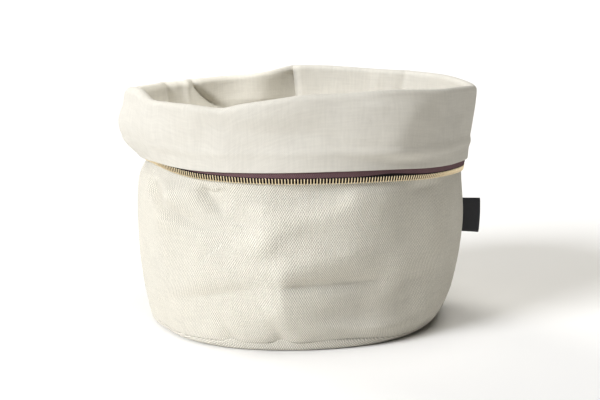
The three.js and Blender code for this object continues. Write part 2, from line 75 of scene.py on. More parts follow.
@dataclass(frozen=True)
class Fold:
    """A fold or dent that runs on a curve from a start, bending towards a via, to an end.

    The places are in degrees round the bag and mm of height. left and right are the widths on
    either side of the run, looking along it from outside. A positive height stands out of the bag.
    edge says how sharply the fold falls off: 2 is soft and round, 1.3 crisper. spread says how many
    times wider the left side is at the end than at the start.
    """

    phi0: float
    z0: float
    phi1: float
    z1: float
    phi2: float
    z2: float
    left: float
    right: float
    height: float
    edge: float = 2.0
    spread: float = 1.0


# foot: where the base leaves the surface. seam_r, seam_z: where base and wall meet. heel, low, mid,
# waist and neck: the standing wall at WALL_HEIGHTS. brim_r, brim_z: the rolled fold at the top, and
# roll its radius. bulge and band: the cuff at two heights over its hem. drop: how far the zip shows.
SECTION_COLUMNS = ("phi", "foot", "seam_r", "seam_z", "heel", "low", "mid", "waist", "neck",
                   "brim_r", "brim_z", "roll", "bulge", "band", "hem_r", "hem_z", "drop")
SECTION_ROWS = (
    (-180, 95, 99.5, 5.0, 103.0, 107.5, 113.0, 112.0, 111.2, 117.8, 169.8, 2.2, 118.5, 116.4, 115.8, 119.5, 8.3),
    (-166, 95, 99.5, 5.0, 103.0, 107.5, 113.0, 112.0, 111.2, 117.8, 165.2, 2.2, 118.5, 116.4, 115.8, 119.2, 8.3),
    (-148, 95, 99.5, 5.0, 103.0, 107.5, 113.0, 112.0, 111.2, 117.8, 162.4, 2.4, 118.5, 116.4, 115.8, 119.0, 8.3),
    (-120, 97, 101.0, 5.0, 104.0, 108.5, 113.0, 111.6, 109.0, 117.4, 160.8, 3.2, 120.5, 117.0, 114.2, 118.0, 6.0),
    (-90, 100, 105.0, 5.5, 107.2, 109.6, 113.2, 111.3, 105.6, 116.8, 162.2, 4.4, 125.8, 120.0, 110.8, 118.2, 2.8),
    (-76, 99, 104.0, 5.2, 106.0, 109.2, 113.0, 111.2, 105.6, 117.0, 165.0, 4.2, 125.0, 119.4, 110.8, 119.4, 3.0),
    (-64, 98, 102.2, 5.0, 104.6, 108.6, 112.8, 111.2, 106.0, 117.4, 165.4, 3.4, 123.6, 118.0, 111.4, 120.2, 3.4),
    (-56, 98.5, 102.4, 4.6, 104.6, 108.4, 112.6, 111.3, 107.0, 117.8, 160.4, 2.8, 122.2, 117.0, 112.4, 120.0, 4.0),
    (-47, 99, 102.8, 4.2, 104.8, 108.4, 112.5, 111.5, 107.8, 117.8, 159.8, 2.5, 121.0, 116.4, 113.2, 119.2, 5.0),
    (-36, 99, 102.8, 5.0, 105.0, 108.2, 112.5, 111.7, 109.6, 117.9, 159.6, 2.3, 119.6, 116.4, 114.6, 118.6, 5.9),
    (-25, 98.5, 101.6, 5.8, 104.3, 108.0, 112.5, 111.8, 110.8, 118.0, 158.4, 2.2, 119.0, 116.4, 115.2, 118.8, 6.6),
    (-18, 97, 100.4, 6.2, 103.6, 107.8, 112.5, 111.8, 111.0, 118.1, 161.4, 2.2, 118.6, 116.4, 115.7, 119.2, 7.2),
    (-9, 95, 98.5, 6.5, 102.5, 107.5, 112.5, 111.8, 111.2, 118.1, 164.4, 2.2, 118.3, 116.4, 115.9, 119.6, 7.6),
    (1, 93.5, 97.4, 6.7, 102.0, 107.2, 112.4, 111.8, 111.2, 118.1, 167.4, 2.2, 118.3, 116.5, 116.1, 120.1, 8.1),
    (12, 92, 96.5, 6.8, 101.5, 107.0, 112.3, 111.8, 111.2, 118.2, 168.0, 2.2, 118.3, 116.3, 115.9, 120.4, 8.3),
    (30, 91.5, 96.2, 5.5, 101.6, 107.0, 112.0, 111.5, 111.0, 118.6, 169.4, 2.2, 118.5, 115.9, 115.7, 120.0, 8.3),
    (45, 90.5, 95.3, 4.2, 101.2, 106.5, 112.0, 111.5, 111.0, 118.2, 168.0, 2.2, 118.0, 117.1, 117.0, 118.6, 8.3),
    (55, 90.0, 94.9, 4.0, 101.5, 106.9, 112.3, 111.5, 111.0, 118.4, 167.5, 2.2, 118.1, 117.6, 117.4, 118.1, 8.3),
    (65, 89.7, 94.9, 3.8, 101.7, 107.1, 112.9, 111.6, 111.0, 118.6, 167.0, 2.3, 118.2, 116.4, 116.2, 117.6, 8.3),
    (90, 90.7, 95.7, 4.0, 102.1, 107.4, 113.4, 112.0, 111.2, 119.4, 165.0, 2.4, 118.6, 116.2, 115.4, 116.0, 8.3),
    (120, 94, 98.0, 4.5, 102.3, 107.0, 113.0, 111.8, 111.2, 118.4, 167.4, 2.3, 119.0, 116.6, 116.0, 118.0, 8.3),
    (150, 95, 99.0, 5.0, 103.0, 107.5, 113.0, 111.8, 111.2, 117.8, 168.1, 2.2, 118.6, 116.4, 115.8, 119.3, 8.3),
)

BODY_FOLDS = (
    Fold(28, 118, 18, 83, -6, 55, 20, 16, 3.2, 1.5),  # long soft corner from under the hem to the creases
    Fold(-3, 69, -9, 41, -5, 10, 15, 16, 5.5, 1.6),  # and on, upright, down to the foot
    Fold(-12, 105, -11, 83, -9, 63, 25, 16, 5.5, 1.6),  # the full front left of that corner
    Fold(22, 111, -9, 103, -24, 76, 8, 27, -3.8),  # and the flatter part across it
    Fold(44, 118, 50, 93, 31, 62, 19, 16, -3.2, 1.8),  # hollow right of the corner
    Fold(22, 54, 18, 26, 10, 7, 27, 15, -2.6, 1.8),  # and right of its upright part
    Fold(-33, 110, -36, 104, -24, 88, 12, 6, -5.5, 1.6),  # dent under the zip at the left
    Fold(-45, 107, -53, 94, -53, 73, 20, 10, 4.6, 1.8),  # swell beside that dent
    Fold(-64, 106, -64, 93, -29, 80, 8, 4, -5.5),  # arc at the far left
    Fold(-8, 67, -5, 87, 22, 74, 9, 10, -3.2, 1.6),  # slanted trough across the middle
    Fold(1, 94, 16, 89, 20, 113, 4, 8, 2.4),  # swell above that trough
    Fold(-6, 54, 11, 66, 23, 68, 6, 8, 1.7),  # swell under it
    Fold(-7, 47, 4, 45, 29, 47, 10, 4, -5.0, 1.4),  # strong level crease, low in the middle
    Fold(18, 50, 36, 36, 61, 49, 12, 12, -3.9, 1.6),  # the crease runs on to the right
    Fold(-57, 26, -31, 37, -8, 46, 6, 14, -3.6, 1.6),  # and to the left
    Fold(13, 26, 33, 24, 56, 31, 12, 13, -4.7, 1.6),  # second crease under it, right half
    Fold(2, 21, 23, 11, 48, 14, 4, 4, 2.4),  # swell between that crease and the foot
    Fold(-25, 4, -26, 15, -32, 27, 4, 6, -1.6, 1.6),  # puckers at the base seam
    Fold(-7, 5, -6, 11, -12, 27, 7, 9, -3.2, 1.6),
)
CUFF_FOLDS = (
    Fold(36, 167, 31, 144, 28, 120, 30, 30, 5.5, 1.55),  # corner of the cuff at the right
    Fold(-104, 133, -88, 135, -58, 133, 6, 5, -1.4),  # tuck over the bulge at the left
)
BRIM_FOLDS = (
    Fold(-177, 174, -178.6, 156, -179, 130, 7, 1.8, 8.5, 1.4, 2.2),  # deep fold at the middle of the back
    Fold(-163, 172, -163, 154, -163, 136, 18, 17, -7.0, 2.0),  # the wall before it comes forward
    Fold(-123, 172, -123, 152, -123, 134, 8, 3.5, 5.0, 1.6),  # pleat at the back, left
    Fold(-131, 172, -131, 152, -131, 134, 4.5, 2.0, -4.2, 1.6),
    Fold(-134, 166, -138, 150, -150, 138, 6, 2.2, 4.6, 1.4, 1.6),  # crease that curves away from it
    Fold(136, 172, 138, 158, 140, 138, 7, 2.6, 3.4, 1.6, 0.6),  # pleat at the back, right
    Fold(148, 170, 149, 156, 150, 140, 5, 5, -1.4),
    Fold(-36, 146, -26, 146, 10, 141, 10, 15, -3.8, 1.8),  # level slack in the front
    Fold(13, 176, 9, 150, 8, 133, 24, 27, -2.4),  # the flatter front beside the cuff's corner
    Fold(61, 176, 61, 158, 64, 142, 19, 16, -2.2, 1.8),  # hollow beyond that corner
)
# Where the base seam is pulled up: place and width in degrees, and rise in mm.
SEAM_PUCKERS = ((-25.2, 3.0, 1.8), (-6.4, 3.4, 1.8))
# Where columns of points stand closer, at sharp folds: place and width in degrees, and how much.
FINE_COLUMNS = ((-178, 5.0, 2.6), (-136, 11.0, 1.0))


def smooth(x: np.ndarray) -> np.ndarray:
    """Ease from 0 to 1 as x goes from 0 to 1."""
    t = np.clip(x, 0, 1)
    return t * t * (3 - 2 * t)


def turned_back(angle: np.ndarray) -> np.ndarray:
    """The same angle in degrees, between -180 and 180."""
    return (angle + 180) % 360 - 180


@dataclass(frozen=True)
class Fade:
    """A soft change from 0 to 1 that begins at start and takes over, both in mm."""

    start: float
    over: float

    def at(self, x: np.ndarray) -> np.ndarray:
        """The share that is reached at x."""
        return smooth((x - self.start) / self.over)


def bezier(corners: Sequence[np.ndarray | float], t: np.ndarray) -> np.ndarray:
    """A curve that leaves the first corner towards the second and reaches the last from the third.

    Args:
        corners: The four corners of the curve.
        t: Share of the way, 0 to 1.

    Returns:
        The value at each t.
    """
    a, b, c, d = corners
    return (1 - t) ** 3 * a + 3 * (1 - t) ** 2 * t * b + 3 * (1 - t) * t * t * c + t ** 3 * d


def cubic(a: np.ndarray, b: np.ndarray, slope_a: np.ndarray, slope_b: np.ndarray,
          width: np.ndarray, t: np.ndarray) -> np.ndarray:
    """Cubic between two values with given slopes.

    Args:
        a: Value at the start.
        b: Value at the end.
        slope_a: Slope at the start.
        slope_b: Slope at the end.
        width: Distance between start and end.
        t: Share of that distance, 0 to 1.

    Returns:
        The value at each t.
    """
    t2, t3 = t * t, t * t * t
    return ((2 * t3 - 3 * t2 + 1) * a + (t3 - 2 * t2 + t) * width * slope_a
            + (3 * t2 - 2 * t3) * b + (t3 - t2) * width * slope_b)


def through_points(points: Sequence[tuple[np.ndarray, np.ndarray]], slope_start: np.ndarray,
                   slope_end: np.ndarray, z: np.ndarray) -> np.ndarray:
    """A smooth line through points, with the slopes at its two ends given.

    Args:
        points: Height and radius of each point, for every column.
        slope_start: Slope at the first point.
        slope_end: Slope at the last point.
        z: Heights, rows by columns.

    Returns:
        The radius at each height.
    """
    inner = [(r1 - r0) / (z1 - z0) for (z0, r0), (z1, r1) in zip(points, points[2:])]
    slopes = [slope_start, *inner, slope_end]
    radius = np.zeros_like(z)
    for k, ((z0, r0), (z1, r1)) in enumerate(zip(points, points[1:])):
        part = cubic(r0, r1, slopes[k], slopes[k + 1], z1 - z0, (z - z0) / (z1 - z0))
        radius = part if k == 0 else np.where(z > z0, part, radius)
    return radius


@dataclass(frozen=True)
class Sections:
    """The table of sections, smoothed round the bag."""

    rows: tuple[tuple[float, ...], ...] = SECTION_ROWS

    def at(self, phi: np.ndarray) -> Section:
        """The section at each angle.

        Args:
            phi: Angles in degrees.

        Returns:
            Each column's value at those angles.
        """
        table = np.array(self.rows, float)
        before, after = table[-2:].copy(), table[:2].copy()
        before[:, 0] -= 360
        after[:, 0] += 360
        table = np.concatenate([before, table, after])
        at = table[:, 0]
        angle = turned_back(phi)
        k = np.clip(np.searchsorted(at, angle, side="right") - 1, 1, len(at) - 3)
        width = at[k + 1] - at[k]
        made = {}
        for column, name in enumerate(SECTION_COLUMNS[1:], start=1):
            value = table[:, column]
            slope = np.zeros_like(value)
            slope[1:-1] = (value[2:] - value[:-2]) / (at[2:] - at[:-2])
            share = (angle - at[k]) / width
            made[name] = cubic(value[k], value[k + 1], slope[k], slope[k + 1], width, share)
        for place, wide, rise in SEAM_PUCKERS:
            made["seam_z"] = made["seam_z"] + rise * np.exp(-(((angle - place) / wide) ** 2))
        return made


@dataclass(frozen=True)
class Waves:
    """Small unevenness of hand-folded cloth, as a sum of slanted waves that close round the bag.

    turns is how many waves go round, and rise how many mm of height one of them takes. Both are the
    ends of a range. tall is the height of all the waves together, in mm.
    """

    seed: int = 7
    count: int = 14
    turns: tuple[int, int] = (5, 21)
    rise: tuple[float, float] = (38.0, 110.0)
    tall: float = 0.34

    def height(self, phi: np.ndarray, z: np.ndarray) -> np.ndarray:
        """How far the cloth moves outwards.

        Args:
            phi: Angles in degrees.
            z: Heights in mm.

        Returns:
            The distance at each place, in mm.
        """
        random = np.random.default_rng(self.seed)
        total = np.zeros(np.broadcast(phi, z).shape)
        for _ in range(self.count):
            turns = random.integers(*self.turns)
            length = random.uniform(*self.rise) * random.choice((-1, 1))
            phase = random.uniform(0, 2 * math.pi)
            total += np.sin(turns * phi * DEGREE + 2 * math.pi * z / length + phase)
        return total * self.tall / math.sqrt(self.count)


@dataclass
class ClothGrid:
    """Points on the line between two layers of cloth, with what a layer needs to lie beside it.

    Attributes:
        points: Places in mm, shaped rows, columns, 3.
        across: Distance round the bag along the cloth, in mm.
        along: Distance along the line, in mm.
        off: How far each layer moves off the line, in mm.
        normals: Unit vectors to the lining's side.
    """

    points: np.ndarray
    across: np.ndarray
    along: np.ndarray
    off: np.ndarray
    normals: np.ndarray

    @classmethod
    def from_points(cls, points: np.ndarray, across: np.ndarray, off: np.ndarray | None = None,
                    wrap: bool = False) -> "ClothGrid":
        """Measures a grid of points.

        Args:
            points: Places in mm, shaped rows, columns, 3.
            across: Distance of each column along the cloth, in mm.
            off: How far each layer moves off the line, or none.
            wrap: Whether the last column meets the first.

        Returns:
            The grid with its distances and normals.
        """
        rows, columns = points.shape[:2]
        steps = np.linalg.norm(np.diff(points, axis=0), axis=2)
        along = np.concatenate([np.zeros((1, columns)), np.cumsum(steps, axis=0)])
        up = np.gradient(points, axis=0)
        if wrap:
            ahead = np.roll(points, -1, axis=1) - np.roll(points, 1, axis=1)
        else:
            ahead = np.gradient(points, axis=1)
        normals = np.cross(up, ahead)
        normals /= np.linalg.norm(normals, axis=2, keepdims=True)
        return cls(points, np.broadcast_to(across, (rows, columns)), along,
                   np.zeros((rows, columns)) if off is None else off, normals)

    def part(self, rows: slice, columns: slice) -> "ClothGrid":
        """The part of the grid that one piece of cloth lies beside.

        Args:
            rows: The part's rows.
            columns: The part's columns.

        Returns:
            That part, with the distance along counted from its first row.
        """
        along = self.along[rows, columns]
        return ClothGrid(self.points[rows, columns], self.across[rows, columns], along - along[:1],
                         self.off[rows, columns], self.normals[rows, columns])

    def beside(self, distance: np.ndarray | float, side: Side) -> np.ndarray:
        """Points at a distance from the line, on the side of a layer."""
        far = side.value * (distance + self.off)
        return self.points + self.normals * far[..., None]


@dataclass(frozen=True)
class BagForm:
    """The whole bag's form: its sections, its folds and how finely they are followed.

    Sizes are in mm, and angles in degrees. Names that end in begin or end say where folds, waves or
    room set in or run out: over the hem, unless their comment says otherwise.

    Attributes:
        gap: Distance between two layers of cloth.
        canvas: Thickness of the outer cloth.
        cotton: Thickness of the lining.
        reach: Radius at which degrees round the bag are counted as mm of cloth.
        side_seam: Where the side seams are, left and right of the front.
        side_seam_gap: How far the two panels stay apart there.
        heights: Heights of the standing wall's columns in the table.
        bulge_above: How far the table's bulge is over the hem.
        band_above: The same for its band.
        hem_start: Slope of the cuff at the hem, as a share of that up to its band.
        seam_start: Slope of the wall at the base seam, as a share of that up to its heel.
        ridge_above: Height over the hem of the ridge that the sewn edge inside the cuff makes.
        waves_lost: Share of the wall's waves that is gone under the cuff.
        tape_room: How far the layers part for the tape.
        teeth_room: How far they part for the teeth, where these slip under the cuff.
        teeth_hidden: How far the teeth are under the cuff where that room sets in.
        zip_drop: How far the teeth's tips hang below the hem where they show in full.
        base_bend: How far the base's edge keeps its two directions, as shares of its reach.
        trace_steps: Steps in which a panel's width is measured to place its columns.
        edge_steps: Distances from a cut edge of its first rows or columns.
        fold_steps: Straight steps that a fold's curve is followed in.
        fold_end_share: Share of a fold's run over which each end runs out.
        fold_end_least: Share of its height that is left at its very end.
    """

    sections: Sections = field(default_factory=Sections)
    wall_waves: Waves = field(default_factory=Waves)
    cuff_waves: Waves = field(default_factory=lambda: Waves(seed=11, tall=0.3))
    gap: float = 0.3
    canvas: float = 1.2
    cotton: float = 1.0
    reach: float = 114.0
    side_seam: float = 90.0
    side_seam_gap: float = 0.02
    heights: tuple[tuple[str, float], ...] = (
        ("heel", 14), ("low", 30), ("mid", 70), ("waist", 103), ("neck", 118))
    bulge_above: float = 21.0
    band_above: float = 9.0
    hem_start: float = 0.9
    seam_start: float = 1.3
    ridge_above: float = 12.0
    ridge_wide: float = 2.4
    ridge_tall: float = 0.7
    brim_folds_begin: Fade = Fade(100.0, 20.0)  # by height
    swells_end: Fade = Fade(-18.0, 9.0)
    dents_end: Fade = Fade(-14.0, 10.0)
    waves_begin: Fade = Fade(0.0, 15.0)  # over the base seam
    waves_end: Fade = Fade(-22.0, 10.0)
    waves_lost: float = 0.8
    cuff_folds_begin: Fade = Fade(3.0, 9.0)
    cuff_folds_end: Fade = Fade(-3.0, 10.0)  # below the brim
    cuff_waves_begin: Fade = Fade(0.0, 12.0)
    cuff_waves_end: Fade = Fade(0.0, 8.0)  # below the brim
    tape_room: float = 0.9
    tape_room_end: Fade = Fade(1.0, 7.0)  # over the tape's upper edge
    teeth_room: float = 1.3
    teeth_room_end: Fade = Fade(0.0, 4.0)  # over the teeth
    teeth_hidden: Fade = Fade(0.0, 0.4)
    tape_wide: float = 13.5
    teeth_tall: float = 4.0
    teeth_thick: float = 2.0
    zip_drop: float = 8.3
    base_bend: tuple[float, float] = (0.45, 0.35)
    wall_rows: int = 104
    brim_rows: int = 8
    cuff_rows: int = 36
    base_start: float = 0.02
    base_rows: int = 30
    base_edge_rows: int = 7
    half_columns: int = 240
    trace_steps: int = 2000
    edge_steps: tuple[float, ...] = (0.0, 0.12, 0.35, 0.75, 1.3)
    fold_steps: int = 16
    fold_end_share: float = 0.3
    fold_end_least: float = 0.35

    def fold_height(self, folds: Sequence[Fold], phi: np.ndarray, z: np.ndarray) -> np.ndarray:
        """How far the given folds move the cloth outwards.

        Args:
            folds: The folds to add up.
            phi: Angles in degrees.
            z: Heights in mm.

        Returns:
            The sum at each place, in mm.
        """
        phi, z = np.broadcast_arrays(phi, z)
        total = np.zeros(z.shape)
        for f in folds:
            u = turned_back(phi - f.phi0) * DEGREE * self.reach
            t = np.linspace(0, 1, self.fold_steps + 1)
            curve_phi = 2 * t * (1 - t) * (f.phi1 - f.phi0) + t * t * (f.phi2 - f.phi0)
            curve_u = curve_phi * DEGREE * self.reach
            curve_z = (1 - t) ** 2 * f.z0 + 2 * t * (1 - t) * f.z1 + t * t * f.z2
            far = np.full(z.shape, np.inf)
            side = np.zeros(z.shape)
            run = np.zeros(z.shape)
            for i in range(self.fold_steps):
                eu, ez = curve_u[i + 1] - curve_u[i], curve_z[i + 1] - curve_z[i]
                s = np.clip(((u - curve_u[i]) * eu + (z - curve_z[i]) * ez) / (eu * eu + ez * ez), 0, 1)
                du, dz = u - curve_u[i] - s * eu, z - curve_z[i] - s * ez
                away = np.hypot(du, dz)
                near = away < far
                far = np.where(near, away, far)
                side = np.where(near, eu * dz - ez * du, side)
                run = np.where(near, (i + s) / self.fold_steps, run)
            width = np.where(side > 0, f.left * (1 + (f.spread - 1) * run), f.right)
            end = smooth(np.minimum(run, 1 - run) / self.fold_end_share)
            taper = self.fold_end_least + (1 - self.fold_end_least) * end
            total += f.height * taper * np.exp(-((far / width) ** f.edge))
        return total

    def seam_slope(self, s: Section) -> np.ndarray:
        """Slope of the wall at the base seam."""
        return self.seam_start * (s["heel"] - s["seam_r"]) / (self.heights[0][1] - s["seam_z"])

    def hem_slope(self, s: Section) -> np.ndarray:
        """Slope of the cuff at its hem."""
        return self.hem_start * (s["band"] - s["hem_r"]) / self.band_above

    def plain_wall(self, s: Section, phi: np.ndarray, z: np.ndarray) -> np.ndarray:
        """The standing wall without the folds of its body.

        Args:
            s: The section at each angle.
            phi: Angles in degrees.
            z: Heights in mm.

        Returns:
            The radius at each place, in mm.
        """
        points = [(s["seam_z"], s["seam_r"])]
        points += [(np.full_like(s["seam_r"], height), s[name]) for name, height in self.heights]
        points.append((s["brim_z"] - s["roll"], s["brim_r"] - s["roll"]))
        start = self.seam_slope(s)
        radius = through_points(points, start, np.zeros_like(start), z)
        return radius + self.fold_height(BRIM_FOLDS, phi, z) * self.brim_folds_begin.at(z)

    def body_fold(self, s: Section, phi: np.ndarray, z: np.ndarray) -> np.ndarray:
        """The body's folds. Swells end below the teeth, dents further up, under the cuff.

        Args:
            s: The section at each angle.
            phi: Angles in degrees.
            z: Heights in mm.

        Returns:
            How far they move the cloth outwards, in mm.
        """
        height = self.fold_height(BODY_FOLDS, phi, z)
        above = z - s["hem_z"]
        return height * (1 - np.where(height > 0, self.swells_end.at(above), self.dents_end.at(above)))

    def wall_radius(self, s: Section, phi: np.ndarray, z: np.ndarray) -> np.ndarray:
        """The standing wall with its folds and unevenness.

        Args:
            s: The section at each angle.
            phi: Angles in degrees.
            z: Heights in mm.

        Returns:
            The radius at each place, in mm.
        """
        left = 1 - self.waves_lost * self.waves_end.at(z - s["hem_z"])
        waves = self.wall_waves.height(phi, z) * self.waves_begin.at(z - s["seam_z"]) * left
        return self.plain_wall(s, phi, z) + self.body_fold(s, phi, z) + waves

    def cuff_radius(self, s: Section, phi: np.ndarray, z: np.ndarray) -> np.ndarray:
        """The cuff from its hem up to the brim.

        Args:
            s: The section at each angle.
            phi: Angles in degrees.
            z: Heights in mm.

        Returns:
            The radius at each place, in mm.
        """
        above = z - s["hem_z"]
        top = s["brim_z"] - s["roll"]
        points = [(s["hem_z"], s["hem_r"]), (s["hem_z"] + self.band_above, s["band"]),
                  (s["hem_z"] + self.bulge_above, s["bulge"]), (top, s["brim_r"] + s["roll"])]
        ridge = self.ridge_tall * np.exp(-(((above - self.ridge_above) / self.ridge_wide) ** 2))
        corner = self.fold_height(CUFF_FOLDS, phi, z) * self.cuff_folds_begin.at(above)
        waves = self.cuff_waves.height(phi, z) * self.cuff_waves_begin.at(above)
        uneven = corner * self.cuff_folds_end.at(top - z) + waves * self.cuff_waves_end.at(top - z)
        radius = through_points(points, self.hem_slope(s), np.zeros_like(top), z)
        return radius + ridge + uneven + self.fold_height(BRIM_FOLDS, phi, z)

    def room(self, s: Section, above: np.ndarray) -> np.ndarray:
        """How far the layers stand off the line, to let the zip in.

        Args:
            s: The section at each angle.
            above: Heights over the hem, in mm.

        Returns:
            The distance at each place, in mm.
        """
        hidden = self.teeth_tall - s["drop"]
        tape = self.tape_room * (1 - self.tape_room_end.at(above - self.tape_wide - hidden))
        teeth = self.teeth_room * (1 - self.teeth_room_end.at(above - hidden))
        return np.maximum(tape, teeth * self.teeth_hidden.at(hidden))

    def columns(self) -> np.ndarray:
        """Places the columns of points, closer at side seams and sharp folds.

        Returns:
            Their angles in degrees, those of the front panel and then those of the back panel.
        """
        trim = self.side_seam_gap / 2 / self.reach / DEGREE
        edge = trim + np.array(self.edge_steps) / self.reach / DEGREE
        halves = []
        for start in (-self.side_seam, self.side_seam):
            fine = start + np.linspace(edge[-1], 2 * self.side_seam - edge[-1], self.trace_steps)
            density = np.ones_like(fine)
            for place, wide, gain in FINE_COLUMNS:
                density += gain * np.exp(-((turned_back(fine - place) / wide) ** 2))
            run = np.cumsum(density)
            inner = np.interp(np.linspace(run[0], run[-1], self.half_columns), run, fine)[1:-1]
            halves += [start + edge, inner, start + 2 * self.side_seam - edge[::-1]]
        return np.concatenate(halves)

    def half(self, which: Half) -> slice:
        """The columns of the front or the back panel."""
        count = len(self.columns()) // 2
        return slice(0, count) if which is Half.FRONT else slice(count, 2 * count)

    def place(self, phi: np.ndarray, radius: np.ndarray, z: np.ndarray) -> np.ndarray:
        """Points in mm from angle, radius and height."""
        angle = np.broadcast_to(phi, radius.shape) * DEGREE
        return np.stack([radius * np.sin(angle), -radius * np.cos(angle), z], axis=-1)

    def base_line(self, s: Section) -> tuple[np.ndarray, np.ndarray]:
        """The line under the bag, from near its middle to the base seam.

        Args:
            s: The section at each angle.

        Returns:
            Radius and height of each row and column, in mm.
        """
        floor = self.gap / 2 + self.canvas
        slope = self.seam_slope(s)
        up_r, up_z = slope / np.hypot(slope, 1), 1 / np.hypot(slope, 1)
        reach = np.hypot(s["seam_r"] - s["foot"], s["seam_z"] - floor)
        share = np.linspace(self.base_start, 1, self.base_rows)[:, None]
        flat_r, flat_z = s["foot"] * share, np.full((self.base_rows, len(s["foot"])), floor)
        t = np.linspace(0, 1, self.base_edge_rows + 1)[1:, None]
        outwards, upwards = (reach * bend for bend in self.base_bend)
        bend_r = bezier((s["foot"], s["foot"] + outwards, s["seam_r"] - up_r * upwards,
                         s["seam_r"] - up_r * self.gap / 2), t)
        bend_z = bezier((floor, floor, s["seam_z"] - up_z * upwards, s["seam_z"] - up_z * self.gap / 2), t)
        return np.concatenate([flat_r, bend_r]), np.concatenate([flat_z, bend_z])

    def whole(self) -> ClothGrid:
        """Works out the whole line, from the middle of the base over the brim to the hem.

        Returns:
            Its grid.
        """
        phi = self.columns()
        s = self.sections.at(phi)
        top = s["brim_z"] - s["roll"]
        base_r, base_z = self.base_line(s)
        steps = np.array(self.edge_steps) + self.gap / 2
        rise = (top - s["seam_z"])[None, :]
        share = np.linspace(steps[-1] / rise[0].min(), 1, self.wall_rows)[1:, None]
        wall_z = s["seam_z"] + np.concatenate([np.repeat(steps[:, None], len(phi), axis=1), rise * share])
        wall_r = self.wall_radius(s, phi, wall_z)
        cuff_share = np.linspace(1, 0, self.cuff_rows)[:-1, None]
        last = np.array(self.edge_steps)[::-1, None]
        tall = (top - s["hem_z"])[None, :]
        cuff_z = s["hem_z"] + np.concatenate([last[0, 0] + (tall - last[0, 0]) * cuff_share,
                                              np.repeat(last, len(phi), axis=1)])
        cuff_r = self.cuff_radius(s, phi, cuff_z)
        turn = np.linspace(math.pi, 0, self.brim_rows + 2)[1:-1, None]
        half = (cuff_r[0] - wall_r[-1]) / 2
        brim_r = wall_r[-1] + half + half * np.cos(turn)
        brim_z = top + half * np.sin(turn)
        radius = np.concatenate([base_r, wall_r, brim_r, cuff_r])
        z = np.concatenate([base_z, wall_z, brim_z, cuff_z])
        off = np.zeros_like(radius)
        off[-len(cuff_z):] = self.room(s, cuff_z - s["hem_z"])
        return ClothGrid.from_points(self.place(phi, radius, z), phi * DEGREE * self.reach, off, wrap=True)

    def base(self, grid: ClothGrid) -> ClothGrid:
        """The rows of the base, all round."""
        return grid.part(slice(0, self.base_rows + self.base_edge_rows), slice(None))

    def panel(self, grid: ClothGrid, which: Half) -> ClothGrid:
        """The rows of the wall, brim and cuff over one panel."""
        return grid.part(slice(self.base_rows + self.base_edge_rows, None), self.half(which))

    def zip_line(self, phi: np.ndarray, start: float, end: float, rows: int) -> np.ndarray:
        """Points down the zip, measured from where the tape ends and the teeth begin.

        Args:
            phi: Angles in degrees.
            start: How far above that place the first row is, in mm.
            end: The same for the last row.
            rows: How many rows.

        Returns:
            Places in mm, shaped rows, columns, 3.
        """
        s = self.sections.at(phi)
        low_z = s["hem_z"] - self.zip_drop
        swell = np.maximum(self.body_fold(s, phi, low_z), 0)
        wall = self.plain_wall(s, phi, low_z) + swell
        canvas_face = self.gap / 2 + self.canvas
        low = np.minimum(wall + canvas_face + self.gap + self.teeth_thick / 2, s["hem_r"])
        above = self.teeth_tall - s["drop"] + np.linspace(start, end, rows)[:, None]
        z = s["hem_z"] + above
        share = np.clip(-above / self.zip_drop, 0, 1)
        hanging = cubic(s["hem_r"], low, -self.hem_slope(s), 0 * low, self.zip_drop, share)
        radius = np.where(above > 0, self.cuff_radius(s, phi, np.maximum(z, s["hem_z"])), hanging)
        return self.place(phi, radius, z)


def write_mesh(name: str, points: np.ndarray, faces: Sequence[Sequence[int]],
               cloth: np.ndarray | None = None) -> bpy.types.Object:
    """Makes a smooth mesh object from points in mm.

    Args:
        name: The piece's name.
        points: Places in mm, one row each.
        faces: The corners of each face.
        cloth: Where each point lies on its flat cloth, in mm, or none.

    Returns:
        The object, linked to the scene.
    """
    mesh = bpy.data.meshes.new(name)
    mesh.from_pydata((points * MM).tolist(), [], faces)
    mesh.polygons.foreach_set("use_smooth", np.ones(len(mesh.polygons), bool))
    if cloth is not None:
        layer = mesh.uv_layers.new(name=CLOTH_UV)
        corners = np.zeros(len(mesh.loops), int)
        mesh.loops.foreach_get("vertex_index", corners)
        layer.data.foreach_set("uv", cloth[corners].astype(np.float32).ravel())
    mesh.update()
    made = bpy.data.objects.new(name, mesh)
    bpy.context.scene.collection.objects.link(made)
    return made


def quads(a: np.ndarray, b: np.ndarray, c: np.ndarray, d: np.ndarray) -> list[list[int]]:
    """Four-sided faces from the arrays of their corners."""
    return np.stack([a, b, c, d], axis=-1).reshape(-1, 4).tolist()


